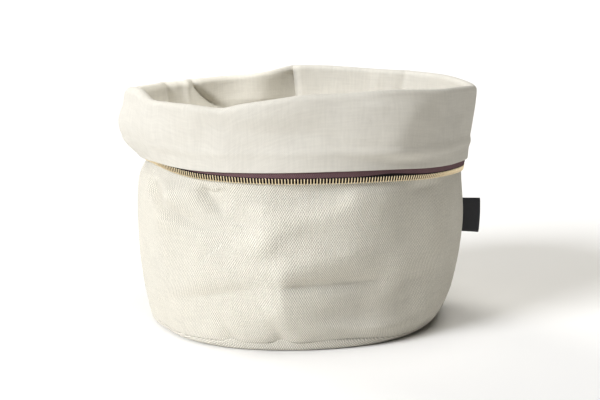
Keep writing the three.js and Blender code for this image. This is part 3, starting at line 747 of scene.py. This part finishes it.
@dataclass(frozen=True)
class ClothSheet:
    """One layer of cloth beside a grid, as a thin closed sheet with rounded edges.

    Sizes are in mm. near is how far the sheet's nearer face lies from the grid's line. edge_least is
    the share of the thickness that is left at a cut edge.
    """

    side: Side
    near: float
    thick: float
    edge_least: float = 0.25

    def edge_profile(self, grid: ClothGrid, wrap: bool) -> np.ndarray:
        """Rounds the sheet off towards its cut edges.

        Args:
            grid: The grid that it lies beside.
            wrap: Whether its columns close to a ring.

        Returns:
            The share of the full thickness at each point.
        """
        to_edge = grid.along[-1] - grid.along
        if not wrap:
            to_edge = np.minimum(to_edge, grid.along)
            to_edge = np.minimum(to_edge, grid.across - grid.across[:, :1])
            to_edge = np.minimum(to_edge, grid.across[:, -1:] - grid.across)
        inwards = np.clip(to_edge / (self.thick / 2), 0, 1)
        return self.edge_least + (1 - self.edge_least) * np.sqrt(1 - (1 - inwards) ** 2)

    def build(self, name: str, grid: ClothGrid, wrap: bool = False) -> bpy.types.Object:
        """Makes the sheet.

        Args:
            name: The piece's name.
            grid: The grid that it lies beside.
            wrap: Whether the sheet is a disc: its columns close and its middle is filled.

        Returns:
            The sheet's object.
        """
        half = self.thick / 2 * self.edge_profile(grid, wrap)
        middle = self.near + self.thick / 2
        canvas_face, lining_face = ((middle + half, middle - half) if self.side is Side.CANVAS
                                    else (middle - half, middle + half))
        outer = grid.beside(canvas_face, self.side)
        inner = grid.beside(lining_face, self.side)
        rows, columns = grid.across.shape
        o = np.arange(rows * columns).reshape(rows, columns)
        if wrap:
            o = np.concatenate([o, o[:, :1]], axis=1)
        n = o + rows * columns
        faces = quads(o[:-1, :-1], o[:-1, 1:], o[1:, 1:], o[1:, :-1])
        faces += quads(n[:-1, :-1], n[1:, :-1], n[1:, 1:], n[:-1, 1:])
        faces += quads(o[-1, :-1], o[-1, 1:], n[-1, 1:], n[-1, :-1])
        points = np.concatenate([outer.reshape(-1, 3), inner.reshape(-1, 3)])
        if wrap:
            # The weave is laid out from the middle, as far as the cloth reaches in each direction.
            radial = grid.points[..., :2]
            reach = np.linalg.norm(radial, axis=2, keepdims=True)
            flat = (radial / reach * (reach[0] + grid.along[..., None])).reshape(-1, 2)
            centre = len(points)
            faces += [[centre, int(b), int(a)] for a, b in zip(o[0, :-1], o[0, 1:])]
            faces += [[centre + 1, int(a), int(b)] for a, b in zip(n[0, :-1], n[0, 1:])]
            middles = np.stack([outer[0].mean(0), inner[0].mean(0)])
            points = np.concatenate([points, middles])
            cloth = np.concatenate([flat, flat, middles[:, :2]])
        else:
            faces += quads(o[0, :-1], n[0, :-1], n[0, 1:], o[0, 1:])
            faces += quads(o[:-1, 0], o[1:, 0], n[1:, 0], n[:-1, 0])
            faces += quads(o[:-1, -1], n[:-1, -1], n[1:, -1], o[1:, -1])
            flat = np.stack([grid.across, grid.along], axis=-1).reshape(-1, 2)
            cloth = np.concatenate([flat, flat])
        return write_mesh(name, points, faces, cloth)


class Value:
    """A node's output that can stand in a Python expression.

    Numbers go through Math nodes, and colours and vectors through Vector Math nodes.
    """

    def __init__(self, graph: "Graph", out: bpy.types.NodeSocket) -> None:
        """Wraps one output of a node in a graph."""
        self.graph = graph
        self.out = out

    def other(self, name: str) -> "Value":
        """Another output of the same node."""
        return Value(self.graph, self.out.node.outputs[name])

    def _apply(self, operation: str, first: "Value | float", second: "Value | float") -> "Value":
        """Adds the node for an operation.

        Args:
            operation: The node's operation.
            first: Its first value.
            second: Its second value.

        Returns:
            The result.
        """
        kinds = {v.out.type for v in (first, second) if isinstance(v, Value)}
        kind = "ShaderNodeMath" if kinds == {"VALUE"} else "ShaderNodeVectorMath"
        if kind == "ShaderNodeVectorMath":
            first, second = (v if isinstance(v, (Value, tuple)) else (v, v, v) for v in (first, second))
        return self.graph.node(kind, {"operation": operation}, {0: first, 1: second})

    def __add__(self, other: "Value | float") -> "Value":
        """Sum of two values."""
        return self._apply("ADD", self, other)

    def __radd__(self, other: "Value | float") -> "Value":
        """Sum of two values."""
        return self._apply("ADD", other, self)

    def __sub__(self, other: "Value | float") -> "Value":
        """Difference of two values."""
        return self._apply("SUBTRACT", self, other)

    def __rsub__(self, other: "Value | float") -> "Value":
        """Difference of two values."""
        return self._apply("SUBTRACT", other, self)

    def __mul__(self, other: "Value | float") -> "Value":
        """Product of two values."""
        return self._apply("MULTIPLY", self, other)

    def __rmul__(self, other: "Value | float") -> "Value":
        """Product of two values."""
        return self._apply("MULTIPLY", other, self)

    def apply(self, operation: str, second: "Value | float" = 0.0) -> "Value":
        """The result of any other Math operation on this value."""
        return self._apply(operation, self, second)


class Graph:
    """The nodes of one material."""

    def __init__(self, name: str) -> None:
        """Starts an empty material.

        Args:
            name: The material's name.
        """
        self.material = bpy.data.materials.new(name)
        self.material.use_nodes = True
        self.tree = self.material.node_tree
        self.tree.nodes.clear()

    def node(self, kind: str, settings: Mapping[str, object] | None = None,
             inputs: Mapping[str | int, object] | None = None, out: str | int = 0) -> Value:
        """Adds a node.

        Args:
            kind: The node's type.
            settings: Its settings, set first.
            inputs: Values or links of its sockets, by name or number.
            out: The output that is wanted.

        Returns:
            That output.
        """
        made = self.tree.nodes.new(kind)
        for name, setting in (settings or {}).items():
            setattr(made, name, setting)
        for name, value in (inputs or {}).items():
            socket = made.inputs[name]
            if isinstance(value, Value):
                self.tree.links.new(value.out, socket)
            elif socket.type == "RGBA" and len(value) == 3:
                socket.default_value = (*value, 1.0)
            else:
                socket.default_value = value
        return Value(self, made.outputs[out])

    def cloth_place(self) -> Value:
        """Where a point lies on its flat cloth, in mm."""
        return self.node("ShaderNodeUVMap", {"uv_map": CLOTH_UV})

    def noise(self, place: Value, scale: float, detail: float = 2.0, out: str = "Fac") -> Value:
        """Soft noise with scale cells for each unit of place."""
        return self.node("ShaderNodeTexNoise", {}, {"Vector": place, "Scale": scale, "Detail": detail}, out)

    def mix(self, factor: Value | float, a: Value | Colour, b: Value | Colour) -> Value:
        """A colour between a and b."""
        return self.node("ShaderNodeMix", {"data_type": "RGBA"}, {0: factor, 6: a, 7: b}, 2)

    def bump(self, height: Value, deep: float, below: Value | None = None) -> Value:
        """Raises the surface.

        Args:
            height: Height at each place, 0 to 1.
            deep: How far 1 stands over 0, in mm.
            below: The normal that it adds to, or none.

        Returns:
            The normal.
        """
        inputs = {"Height": height, "Distance": deep * MM, "Strength": 1.0}
        if below is not None:
            inputs["Normal"] = below
        return self.node("ShaderNodeBump", {}, inputs)

    def finish(self, inputs: Mapping[str, object]) -> bpy.types.Material:
        """Ends the graph in a surface.

        Args:
            inputs: Values or links of the surface's sockets.

        Returns:
            The material.
        """
        surface = self.node("ShaderNodeBsdfPrincipled", {}, inputs)
        end = self.tree.nodes.new("ShaderNodeOutputMaterial")
        self.tree.links.new(surface.out, end.inputs["Surface"])
        return self.material


@dataclass(frozen=True)
class WovenFinish:
    """A plain weave with slubs, uneven dye, soft crumples and painted shade in the hollows of the weave.

    Sizes are in mm of cloth, and names that end in cells say how many soft patches lie on a mm.

    Attributes:
        colour: Colour of the yarn that crosses over.
        hollow_shade_colour: Colour where the weave lies low, darker than its yarn as painted shade in the hollows.
        warp_pitch: Distance of the upright yarns.
        weft_pitch: Distance of the level yarns.
        relief: Depth of the weave.
        wander: How far yarns stray here and there, as a share of their pitch.
        slub: Depth of the slubs.
        crumple: Depth of the crumples.
        drift: How far whole stretches of yarn stray, as a share of their pitch.
        slub_shade: How much lighter slubs are than the cloth.
        patch_shade: The same for the uneven dye.
        tint: What the cloth's colour is multiplied by in its warmer patches.
    """

    name: str
    colour: Colour
    hollow_shade_colour: Colour
    warp_pitch: float
    weft_pitch: float
    relief: float
    wander: float
    slub: float
    crumple: float
    drift: float = 0.9
    drift_cells: float = 0.11
    wander_cells: float = 0.45
    slub_wide: float = 1.5
    slub_long: float = 16.0
    slub_shade: float = 0.16
    patch_cells: float = 0.035
    patch_shade: float = 0.1
    crumple_cells: float = 0.045
    tint_cells: float = 0.021
    tint: Colour = (1.01, 0.995, 0.97)
    roughness: float = 0.92

    def material(self) -> bpy.types.Material:
        """Builds the material.

        Returns:
            The material of this cloth.
        """
        g = Graph(self.name)
        flat = g.cloth_place()
        drift = (g.noise(flat, self.drift_cells, 1.0, "Color") - 0.5) * (self.warp_pitch * self.drift)
        stray = (g.noise(flat, self.wander_cells, 1.0, "Color") - 0.5) * (self.warp_pitch * self.wander)
        place = flat + drift + stray
        u = g.node("ShaderNodeSeparateXYZ", {}, {0: place}, "X")
        v = u.other("Y")
        cos_u = (u * (math.pi / self.warp_pitch)).apply("COSINE")
        cos_v = (v * (math.pi / self.weft_pitch)).apply("COSINE")
        yarn = cos_u * cos_v * 0.5 + 0.5
        fine, long = 1 / self.slub_wide, 1 / self.slub_long
        upright = g.noise(flat * (fine, long, 0.0), 1.0, 2.0)
        level = g.noise(flat * (long, fine, 0.0), 1.0, 2.0)
        slubs = upright + level - 1
        patch = g.noise(flat, self.patch_cells, 3.0)
        # Painted shade: where the weave lies low, its yarn is darker, as if shaded by the yarn that crosses over
        # it.
        tone = g.mix(yarn, self.hollow_shade_colour, self.colour)
        shade = (patch - 0.5) * self.patch_shade + slubs * self.slub_shade + 1
        tinted = g.mix(g.noise(flat, self.tint_cells, 2.0), tone, tone * self.tint)
        creased = g.bump(g.noise(flat, self.crumple_cells, 4.0), self.crumple)
        slubbed = g.bump(slubs, self.slub, creased)
        woven = g.bump(yarn, self.relief, slubbed)
        return g.finish({"Base Color": tinted * shade, "Roughness": self.roughness, "Specular IOR Level": 0.2,
                         "Sheen Weight": 0.1, "Sheen Roughness": 0.6, "Normal": woven})


@dataclass(frozen=True)
class TapeFinish:
    """Zip tape woven in a herringbone, with an edge cord that the teeth grip, painted near-black as the shade
    between them.

    Sizes are in mm. teeth_gap_shade_from is how far down the tape the cord and its painted shade begin, stripe how
    wide a stripe of the herringbone is, and thread half the distance of its threads.
    """

    name: str = "zip tape"
    colour: Colour = (0.2, 0.115, 0.125)
    dark: Colour = (0.055, 0.03, 0.034)
    teeth_gap_shade: Colour = (0.012, 0.009, 0.009)
    teeth_gap_shade_from: float = 13.3
    stripe: float = 2.2
    thread: float = 0.55
    relief: float = 0.14
    patch_cells: float = 0.2
    patch_share: float = 0.3

    def material(self) -> bpy.types.Material:
        """Builds the material.

        Returns:
            The material of the tape.
        """
        g = Graph(self.name)
        flat = g.cloth_place()
        u = g.node("ShaderNodeSeparateXYZ", {}, {0: flat}, "X")
        v = u.other("Y")
        zigzag = (v * (1 / self.stripe)).apply("PINGPONG", 1.0) * self.stripe
        twill = ((u + zigzag) * (math.pi / self.thread)).apply("SINE") * 0.5 + 0.5
        patch = g.noise(flat, self.patch_cells) * self.patch_share
        woven = g.mix(twill * (1 - self.patch_share) + patch, self.dark, self.colour)
        # Painted shade: from its cord down, the tape is near-black, standing for the shade between the teeth.
        colour = g.mix(v.apply("GREATER_THAN", self.teeth_gap_shade_from), woven, self.teeth_gap_shade)
        return g.finish({"Base Color": colour, "Roughness": 0.9, "Specular IOR Level": 0.1,
                         "Normal": g.bump(twill, self.relief)})


@dataclass(frozen=True)
class BrassFinish:
    """Lightly tarnished brass. grain is how many worn spots lie on a metre, and relief is in mm."""

    name: str = "brass teeth"
    bright: Colour = (0.97, 0.85, 0.62)
    dull: Colour = (0.7, 0.54, 0.3)
    grain: float = 900.0
    relief: float = 0.04
    roughness: float = 0.27
    wear_roughness: float = 0.15

    def material(self) -> bpy.types.Material:
        """Builds the material.

        Returns:
            The material of the teeth.
        """
        g = Graph(self.name)
        place = g.node("ShaderNodeTexCoord", {}, {}, "Object")
        wear = g.noise(place, self.grain, 3.0)
        colour = g.mix(wear, self.dull, self.bright)
        rough = wear * self.wear_roughness + self.roughness
        return g.finish({"Base Color": colour, "Metallic": 1.0, "Roughness": rough,
                         "Normal": g.bump(wear, self.relief)})


@dataclass(frozen=True)
class RibbonFinish:
    """Tightly woven black ribbon with fine ribs. Sizes are in mm, and rib is half their distance."""

    name: str = "black ribbon"
    colour: Colour = (0.016, 0.016, 0.019)
    worn: Colour = (0.034, 0.034, 0.038)
    rib: float = 0.32
    relief: float = 0.06
    patch_cells: float = 0.3

    def material(self) -> bpy.types.Material:
        """Builds the material.

        Returns:
            The material of the label.
        """
        g = Graph(self.name)
        flat = g.cloth_place()
        u = g.node("ShaderNodeSeparateXYZ", {}, {0: flat}, "X")
        v = u.other("Y")
        ribs = (u * (math.pi / self.rib)).apply("SINE") * (v * (math.pi / self.rib)).apply("SINE")
        raised = ribs * 0.5 + 0.5
        wear = (raised + g.noise(flat, self.patch_cells)) * 0.5
        return g.finish({"Base Color": g.mix(wear, self.colour, self.worn), "Roughness": 0.7,
                         "Specular IOR Level": 0.35, "Normal": g.bump(raised, self.relief)})


# Each cloth's second colour is painted shade in the hollows of its weave.
CANVAS_FINISH = WovenFinish(
    "canvas", colour=(0.87, 0.84, 0.745), hollow_shade_colour=(0.37, 0.345, 0.285), warp_pitch=0.76, weft_pitch=1.2,
    relief=0.4, wander=0.9, slub=0.08, crumple=0.9)
COTTON_FINISH = WovenFinish(
    "cotton", colour=(0.605, 0.585, 0.525), hollow_shade_colour=(0.545, 0.52, 0.46), warp_pitch=0.42, weft_pitch=0.5,
    relief=0.06, wander=0.9, slub=0.06, crumple=0.8)


def dress(piece: bpy.types.Object, material: bpy.types.Material, node: str) -> None:
    """Gives a piece its finish and its place among the CAD nodes.

    Args:
        piece: The piece.
        material: Its material.
        node: The CAD node that it stands for.
    """
    piece.data.materials.append(material)
    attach(piece, BODY)
    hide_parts(node)
    triangles = sum(len(p.vertices) - 2 for p in piece.data.polygons)
    log.info("%s stands for %s: %d triangles", piece.name, node, triangles)


@dataclass(frozen=True)
class ClothShell:
    """One cloth of the bag: its base disc and the front and back panels of wall and cuff.

    nodes are the CAD nodes of base, front and back. Flat sizes are in metres, and their areas in
    square metres.
    """

    name: str
    nodes: tuple[str, str, str]
    sheet: ClothSheet
    finish: WovenFinish
    slot: str
    panel_flat: tuple[float, float] = (0.36, 0.222)
    base_flat: tuple[float, float] = (0.204, 0.204)
    base_area: float = 0.0325

    def build(self, form: BagForm, grid: ClothGrid) -> None:
        """Makes the base, the front panel and the back panel.

        Args:
            form: The bag's form.
            grid: The grid of its whole line.
        """
        material = self.finish.material()
        base_node, front_node, back_node = self.nodes
        base = self.sheet.build(f"{self.name}_base", form.base(grid), wrap=True)
        dress(base, material, base_node)
        for half, node in ((Half.FRONT, front_node), (Half.BACK, back_node)):
            panel = self.sheet.build(f"{self.name}_{half.value}", form.panel(grid, half))
            dress(panel, material, node)


@dataclass(frozen=True)
class Zip:
    """One half of an open metal zip along the cuff's hem: tape, and teeth clamped on its edge.

    Sizes are in mm, and the flat size in metres.

    Attributes:
        pitch: Distance of the teeth.
        bead_reach: How far the tape's edge cord goes down between the teeth, with its painted shade.
        trace_steps: Straight steps in which the hem is measured for the teeth.
        trace_ahead: How many degrees ahead the hem is looked at for a tooth's sideways direction.
        corner: How far a tooth's octagon keeps its flats, as a share of its half size.
        tooth_rings: Place, half width and half thickness of a tooth, down its length.
    """

    pitch: float = 2.02
    tape_thick: float = 0.75
    tape_rows: int = 12
    tape_flat: tuple[float, float] = (0.36, 0.0155)
    bead_reach: float = 3.4
    trace_steps: int = 2880
    trace_ahead: float = 0.2
    corner: float = 0.62
    tooth_rings: tuple[tuple[float, float, float], ...] = (
        (0.0, 0.3, 0.45), (0.25, 0.38, 0.58), (1.5, 0.38, 0.58), (3.1, 0.34, 0.52),
        (3.4, 0.54, 0.52), (3.8, 0.54, 0.45), (4.05, 0.36, 0.3))

    def tape(self, form: BagForm, which: Half) -> bpy.types.Object:
        """Makes the tape over one panel.

        Args:
            form: The bag's form.
            which: The panel.

        Returns:
            The tape's object.
        """
        phi = form.columns()[form.half(which)]
        points = form.zip_line(phi, form.tape_wide, -self.bead_reach, self.tape_rows)
        grid = ClothGrid.from_points(points, phi * DEGREE * form.reach)
        sheet = ClothSheet(Side.CANVAS, -self.tape_thick / 2, self.tape_thick)
        return sheet.build(f"zip_tape_{which.value}_woven", grid)

    def tooth_places(self, form: BagForm) -> tuple[np.ndarray, np.ndarray, np.ndarray, np.ndarray]:
        """Places the teeth, evenly spaced round the hem.

        Args:
            form: The bag's form.

        Returns:
            Angle, root, downward and sideways direction of each tooth.
        """
        dense = np.linspace(-180, 180, self.trace_steps + 1)
        line = form.zip_line(dense, 0.0, 0.0, 1)[0]
        run = np.concatenate([[0], np.cumsum(np.linalg.norm(np.diff(line, axis=0), axis=1))])
        count = round(run[-1] / self.pitch)
        phi = np.interp((np.arange(count) + 0.5) * run[-1] / count, run, dense)
        root, tip = form.zip_line(phi, 0.0, -form.teeth_tall, 2)
        down = tip - root
        down /= np.linalg.norm(down, axis=1, keepdims=True)
        ahead = form.zip_line(phi + self.trace_ahead, 0.0, 0.0, 1)[0] - root
        ahead -= down * (ahead * down).sum(1, keepdims=True)
        ahead /= np.linalg.norm(ahead, axis=1, keepdims=True)
        return phi, root, down, ahead

    def teeth(self, form: BagForm, which: Half) -> bpy.types.Object:
        """Makes the teeth over one panel, each a closed shape of its own in one mesh.

        Args:
            form: The bag's form.
            which: The panel.

        Returns:
            The object of all these teeth.
        """
        phi, root, down, ahead = self.tooth_places(form)
        front = np.abs(phi) < form.side_seam
        keep = front if which is Half.FRONT else ~front
        outwards = np.cross(down, ahead)
        c = self.corner
        octagon = np.array([(1, c), (c, 1), (-c, 1), (-1, c), (-1, -c), (-c, -1), (c, -1), (1, -c)])
        rings = np.array(self.tooth_rings)
        sides = len(octagon)
        local = np.array([(x * w, y * t, far) for far, w, t in rings for x, y in octagon])
        points = (root[keep, None] + local[None, :, 0:1] * ahead[keep, None]
                  + local[None, :, 1:2] * outwards[keep, None] + local[None, :, 2:3] * down[keep, None])
        at = np.arange(len(local)).reshape(len(rings), sides)
        beside = np.roll(at, -1, axis=1)
        faces = quads(at[:-1], beside[:-1], beside[1:], at[1:])
        faces += [at[0, ::-1].tolist(), at[-1].tolist()]
        every = [[corner + n * len(local) for corner in f] for n in range(int(keep.sum())) for f in faces]
        return write_mesh(f"zip_teeth_{which.value}_brass", points.reshape(-1, 3), every)

    def build(self, form: BagForm) -> None:
        """Makes the zip's tape and teeth over both panels.

        Args:
            form: The bag's form.
        """
        woven = TapeFinish().material()
        brass = BrassFinish().material()
        for which in Half:
            teeth = self.teeth(form, which)
            dress(teeth, brass, f"zip_teeth_{which.value}")
            tape = self.tape(form, which)
            dress(tape, woven, f"zip_tape_{which.value}")


@dataclass(frozen=True)
class SideLabel:
    """A small folded ribbon caught in the seam at the right side.

    Sizes are in mm.

    Attributes:
        long: How far it stands out of the canvas.
        low: Height of its lower edge.
        bend: How far its free end turns to the back.
        apart: Half the distance of its two layers.
        belly: How much further apart they are half-way up, as a share.
        droop: How far the free end sinks.
        droop_low: Share of that at the lower edge.
        droop_high: The same at the upper edge.
        turn_rows: Rows of the fold at the free end, with its first and last.
    """

    long: float = 13.0
    tall: float = 24.0
    low: float = 61.3
    bend: float = 1.2
    thick: float = 0.4
    apart: float = 0.32
    belly: float = 0.8
    droop: float = 1.0
    droop_low: float = 1.0
    droop_high: float = 0.3
    rows: int = 14
    turn_rows: int = 7
    columns: int = 16

    def build(self, form: BagForm) -> None:
        """Makes the label.

        Args:
            form: The bag's form.
        """
        seam = np.array([form.side_seam])
        s = form.sections.at(seam)
        z = self.low + self.tall * np.linspace(0, 1, self.columns)
        wall = form.wall_radius(s, seam, z)
        root, tip = wall + form.gap, wall + form.gap / 2 + form.canvas + self.long
        out = np.linspace(0, 1, self.rows)[:, None]
        turn = np.linspace(-90, 90, self.turn_rows)[1:-1, None] * DEGREE
        share = np.concatenate([out, np.ones_like(turn), out[::-1]])
        side = np.concatenate([-np.ones_like(out), np.sin(turn), np.ones_like(out)]) * self.apart
        over = np.concatenate([0 * out, np.cos(turn), 0 * out]) * self.apart
        x = root + (tip - root) * share + over
        open_out = 1 + self.belly * np.sin(np.linspace(0, 1, self.columns) * math.pi) * (share < 1)
        y = side * open_out + self.bend * share ** 2
        drop = self.droop * share ** 1.5 * np.linspace(self.droop_low, self.droop_high, self.columns)
        points = np.stack(np.broadcast_arrays(x, y, z - drop), axis=-1)
        grid = ClothGrid.from_points(points, z - self.low)
        sheet = ClothSheet(Side.CANVAS, -self.thick / 2, self.thick)
        label = sheet.build("side_label", grid)
        dress(label, RibbonFinish().material(), "label")


def hang(lamp: bpy.types.Light, came_from: Vector, place: Vector = Vector()) -> None:
    """Adds a lamp to the scene.

    Args:
        lamp: The lamp.
        came_from: The direction that its light comes from.
        place: Where it hangs, in metres.
    """
    held = bpy.data.objects.new(lamp.name, lamp)
    held.location = place
    held.rotation_euler = came_from.to_track_quat("Z", "Y").to_euler()
    bpy.context.scene.collection.objects.link(held)


@dataclass(frozen=True)
class SoftLight:
    """A broad light far away. came_from points to it, and angle is how wide it looks, in degrees."""

    name: str
    came_from: tuple[float, float, float]
    white: float
    angle: float
    colour: Colour

    def build(self) -> None:
        """Makes the light. white is the brightness of a white card that faces it."""
        sun = bpy.data.lights.new(self.name, "SUN")
        sun.energy = self.white * math.pi
        sun.angle = self.angle * DEGREE
        sun.color = self.colour
        hang(sun, Vector(self.came_from))


@dataclass(frozen=True)
class OpeningLight:
    """A soft lamp over the bag's opening, which shines down into it.

    Places and its radius are in metres, power is in watts and cone in degrees.
    """

    place: tuple[float, float, float] = (0.012, -0.03, 0.42)
    aim: tuple[float, float, float] = (-0.02, 0.01, 0.16)
    power: float = 4.6
    cone: float = 44.0
    soft_edge: float = 0.5
    radius: float = 0.03
    colour: Colour = (1.0, 0.99, 0.95)

    def build(self) -> None:
        """Makes the lamp."""
        spot = bpy.data.lights.new("opening", "SPOT")
        spot.energy = self.power
        spot.spot_size = self.cone * DEGREE
        spot.spot_blend = self.soft_edge
        spot.shadow_soft_size = self.radius
        spot.color = self.colour
        hang(spot, Vector(self.place) - Vector(self.aim), Vector(self.place))


@dataclass(frozen=True)
class Studio:
    """A pale floor, window light from the left, softer light from behind and above, and a lamp.

    The lamp hangs over the bag and lights its inside. Sizes are in metres.
    """

    floor_half: float = 30.0
    floor_below: float = 0.0003
    floor_colour: Colour = (0.93, 0.92, 0.9)
    lights: tuple[SoftLight, ...] = (
        SoftLight("left window", (-0.656, -0.591, 0.469), 1.0, 24.0, (0.975, 0.995, 1.05)),
        SoftLight("low left", (-0.951, -0.255, 0.174), 0.15, 24.0, (0.98, 1.0, 1.02)),
        SoftLight("back left", (-0.527, 0.627, 0.574), 0.39, 30.0, (1.0, 0.98, 0.93)),
        SoftLight("overhead", (0.12, -0.12, 0.985), 0.46, 38.0, (1.0, 0.985, 0.94)),
    )
    opening: OpeningLight = OpeningLight()
    fill: Colour = (1.0, 0.98, 0.94)
    fill_strength: float = 0.03

    def build(self) -> None:
        """Makes the floor, the lights and the fill."""
        h, z = self.floor_half / MM, -self.floor_below / MM
        corners = np.array([(-h, -h, z), (h, -h, z), (h, h, z), (-h, h, z)])
        floor = write_mesh("floor", corners, [[0, 1, 2, 3]])
        paint = Graph("pale floor")
        floor.data.materials.append(paint.finish({"Base Color": self.floor_colour, "Roughness": 0.9,
                                                  "Specular IOR Level": 0.0}))
        for light in (*self.lights, self.opening):
            light.build()
        world = bpy.data.worlds.new("fill")
        world.use_nodes = True
        sky = world.node_tree.nodes["Background"]
        sky.inputs["Color"].default_value = (*self.fill, 1.0)
        sky.inputs["Strength"].default_value = self.fill_strength
        bpy.context.scene.world = world
        bpy.context.scene.view_settings.view_transform = "Standard"
        log.info("studio: floor, %d lights and fill", len(self.lights) + 1)


@dataclass(frozen=True)
class Viewpoint:
    """The camera, in metres. It looks down by pitch degrees, and focal is in pixels of the image."""

    place: tuple[float, float, float] = (0.0, -0.970, 0.245)
    pitch: float = 9.45
    focal: float = 1386.2
    image_width: int = 600
    sensor: float = 36.0

    def build(self) -> None:
        """Makes the camera and looks through it."""
        lens = bpy.data.cameras.new("camera")
        lens.sensor_width = self.sensor
        lens.lens = self.focal / self.image_width * self.sensor
        camera = bpy.data.objects.new("camera", lens)
        camera.location = self.place
        camera.rotation_euler = ((90 - self.pitch) * DEGREE, 0.0, 0.0)
        bpy.context.scene.collection.objects.link(camera)
        bpy.context.scene.camera = camera
        log.info("camera at %s", self.place)


def main() -> None:
    """Builds the bag, the camera and the studio."""
    logging.basicConfig(level=logging.INFO, format="%(name)s: %(message)s")
    Viewpoint().build()
    form = BagForm()
    grid = form.whole()
    log.info("form: %d rows of %d columns", *grid.across.shape)
    canvas = ClothSheet(Side.CANVAS, form.gap / 2, form.canvas)
    cotton = ClothSheet(Side.LINING, form.gap / 2, form.cotton)
    outer_nodes = ("outer_base", "outer_wall_front", "outer_wall_back")
    inner_nodes = ("lining_base", "lining_front", "lining_back")
    ClothShell("canvas", outer_nodes, canvas, CANVAS_FINISH, "canvas").build(form, grid)
    ClothShell("cotton", inner_nodes, cotton, COTTON_FINISH, "lining").build(form, grid)
    Zip().build(form)
    SideLabel().build(form)
    Studio().build()


if __name__ == "__main__":
    main()
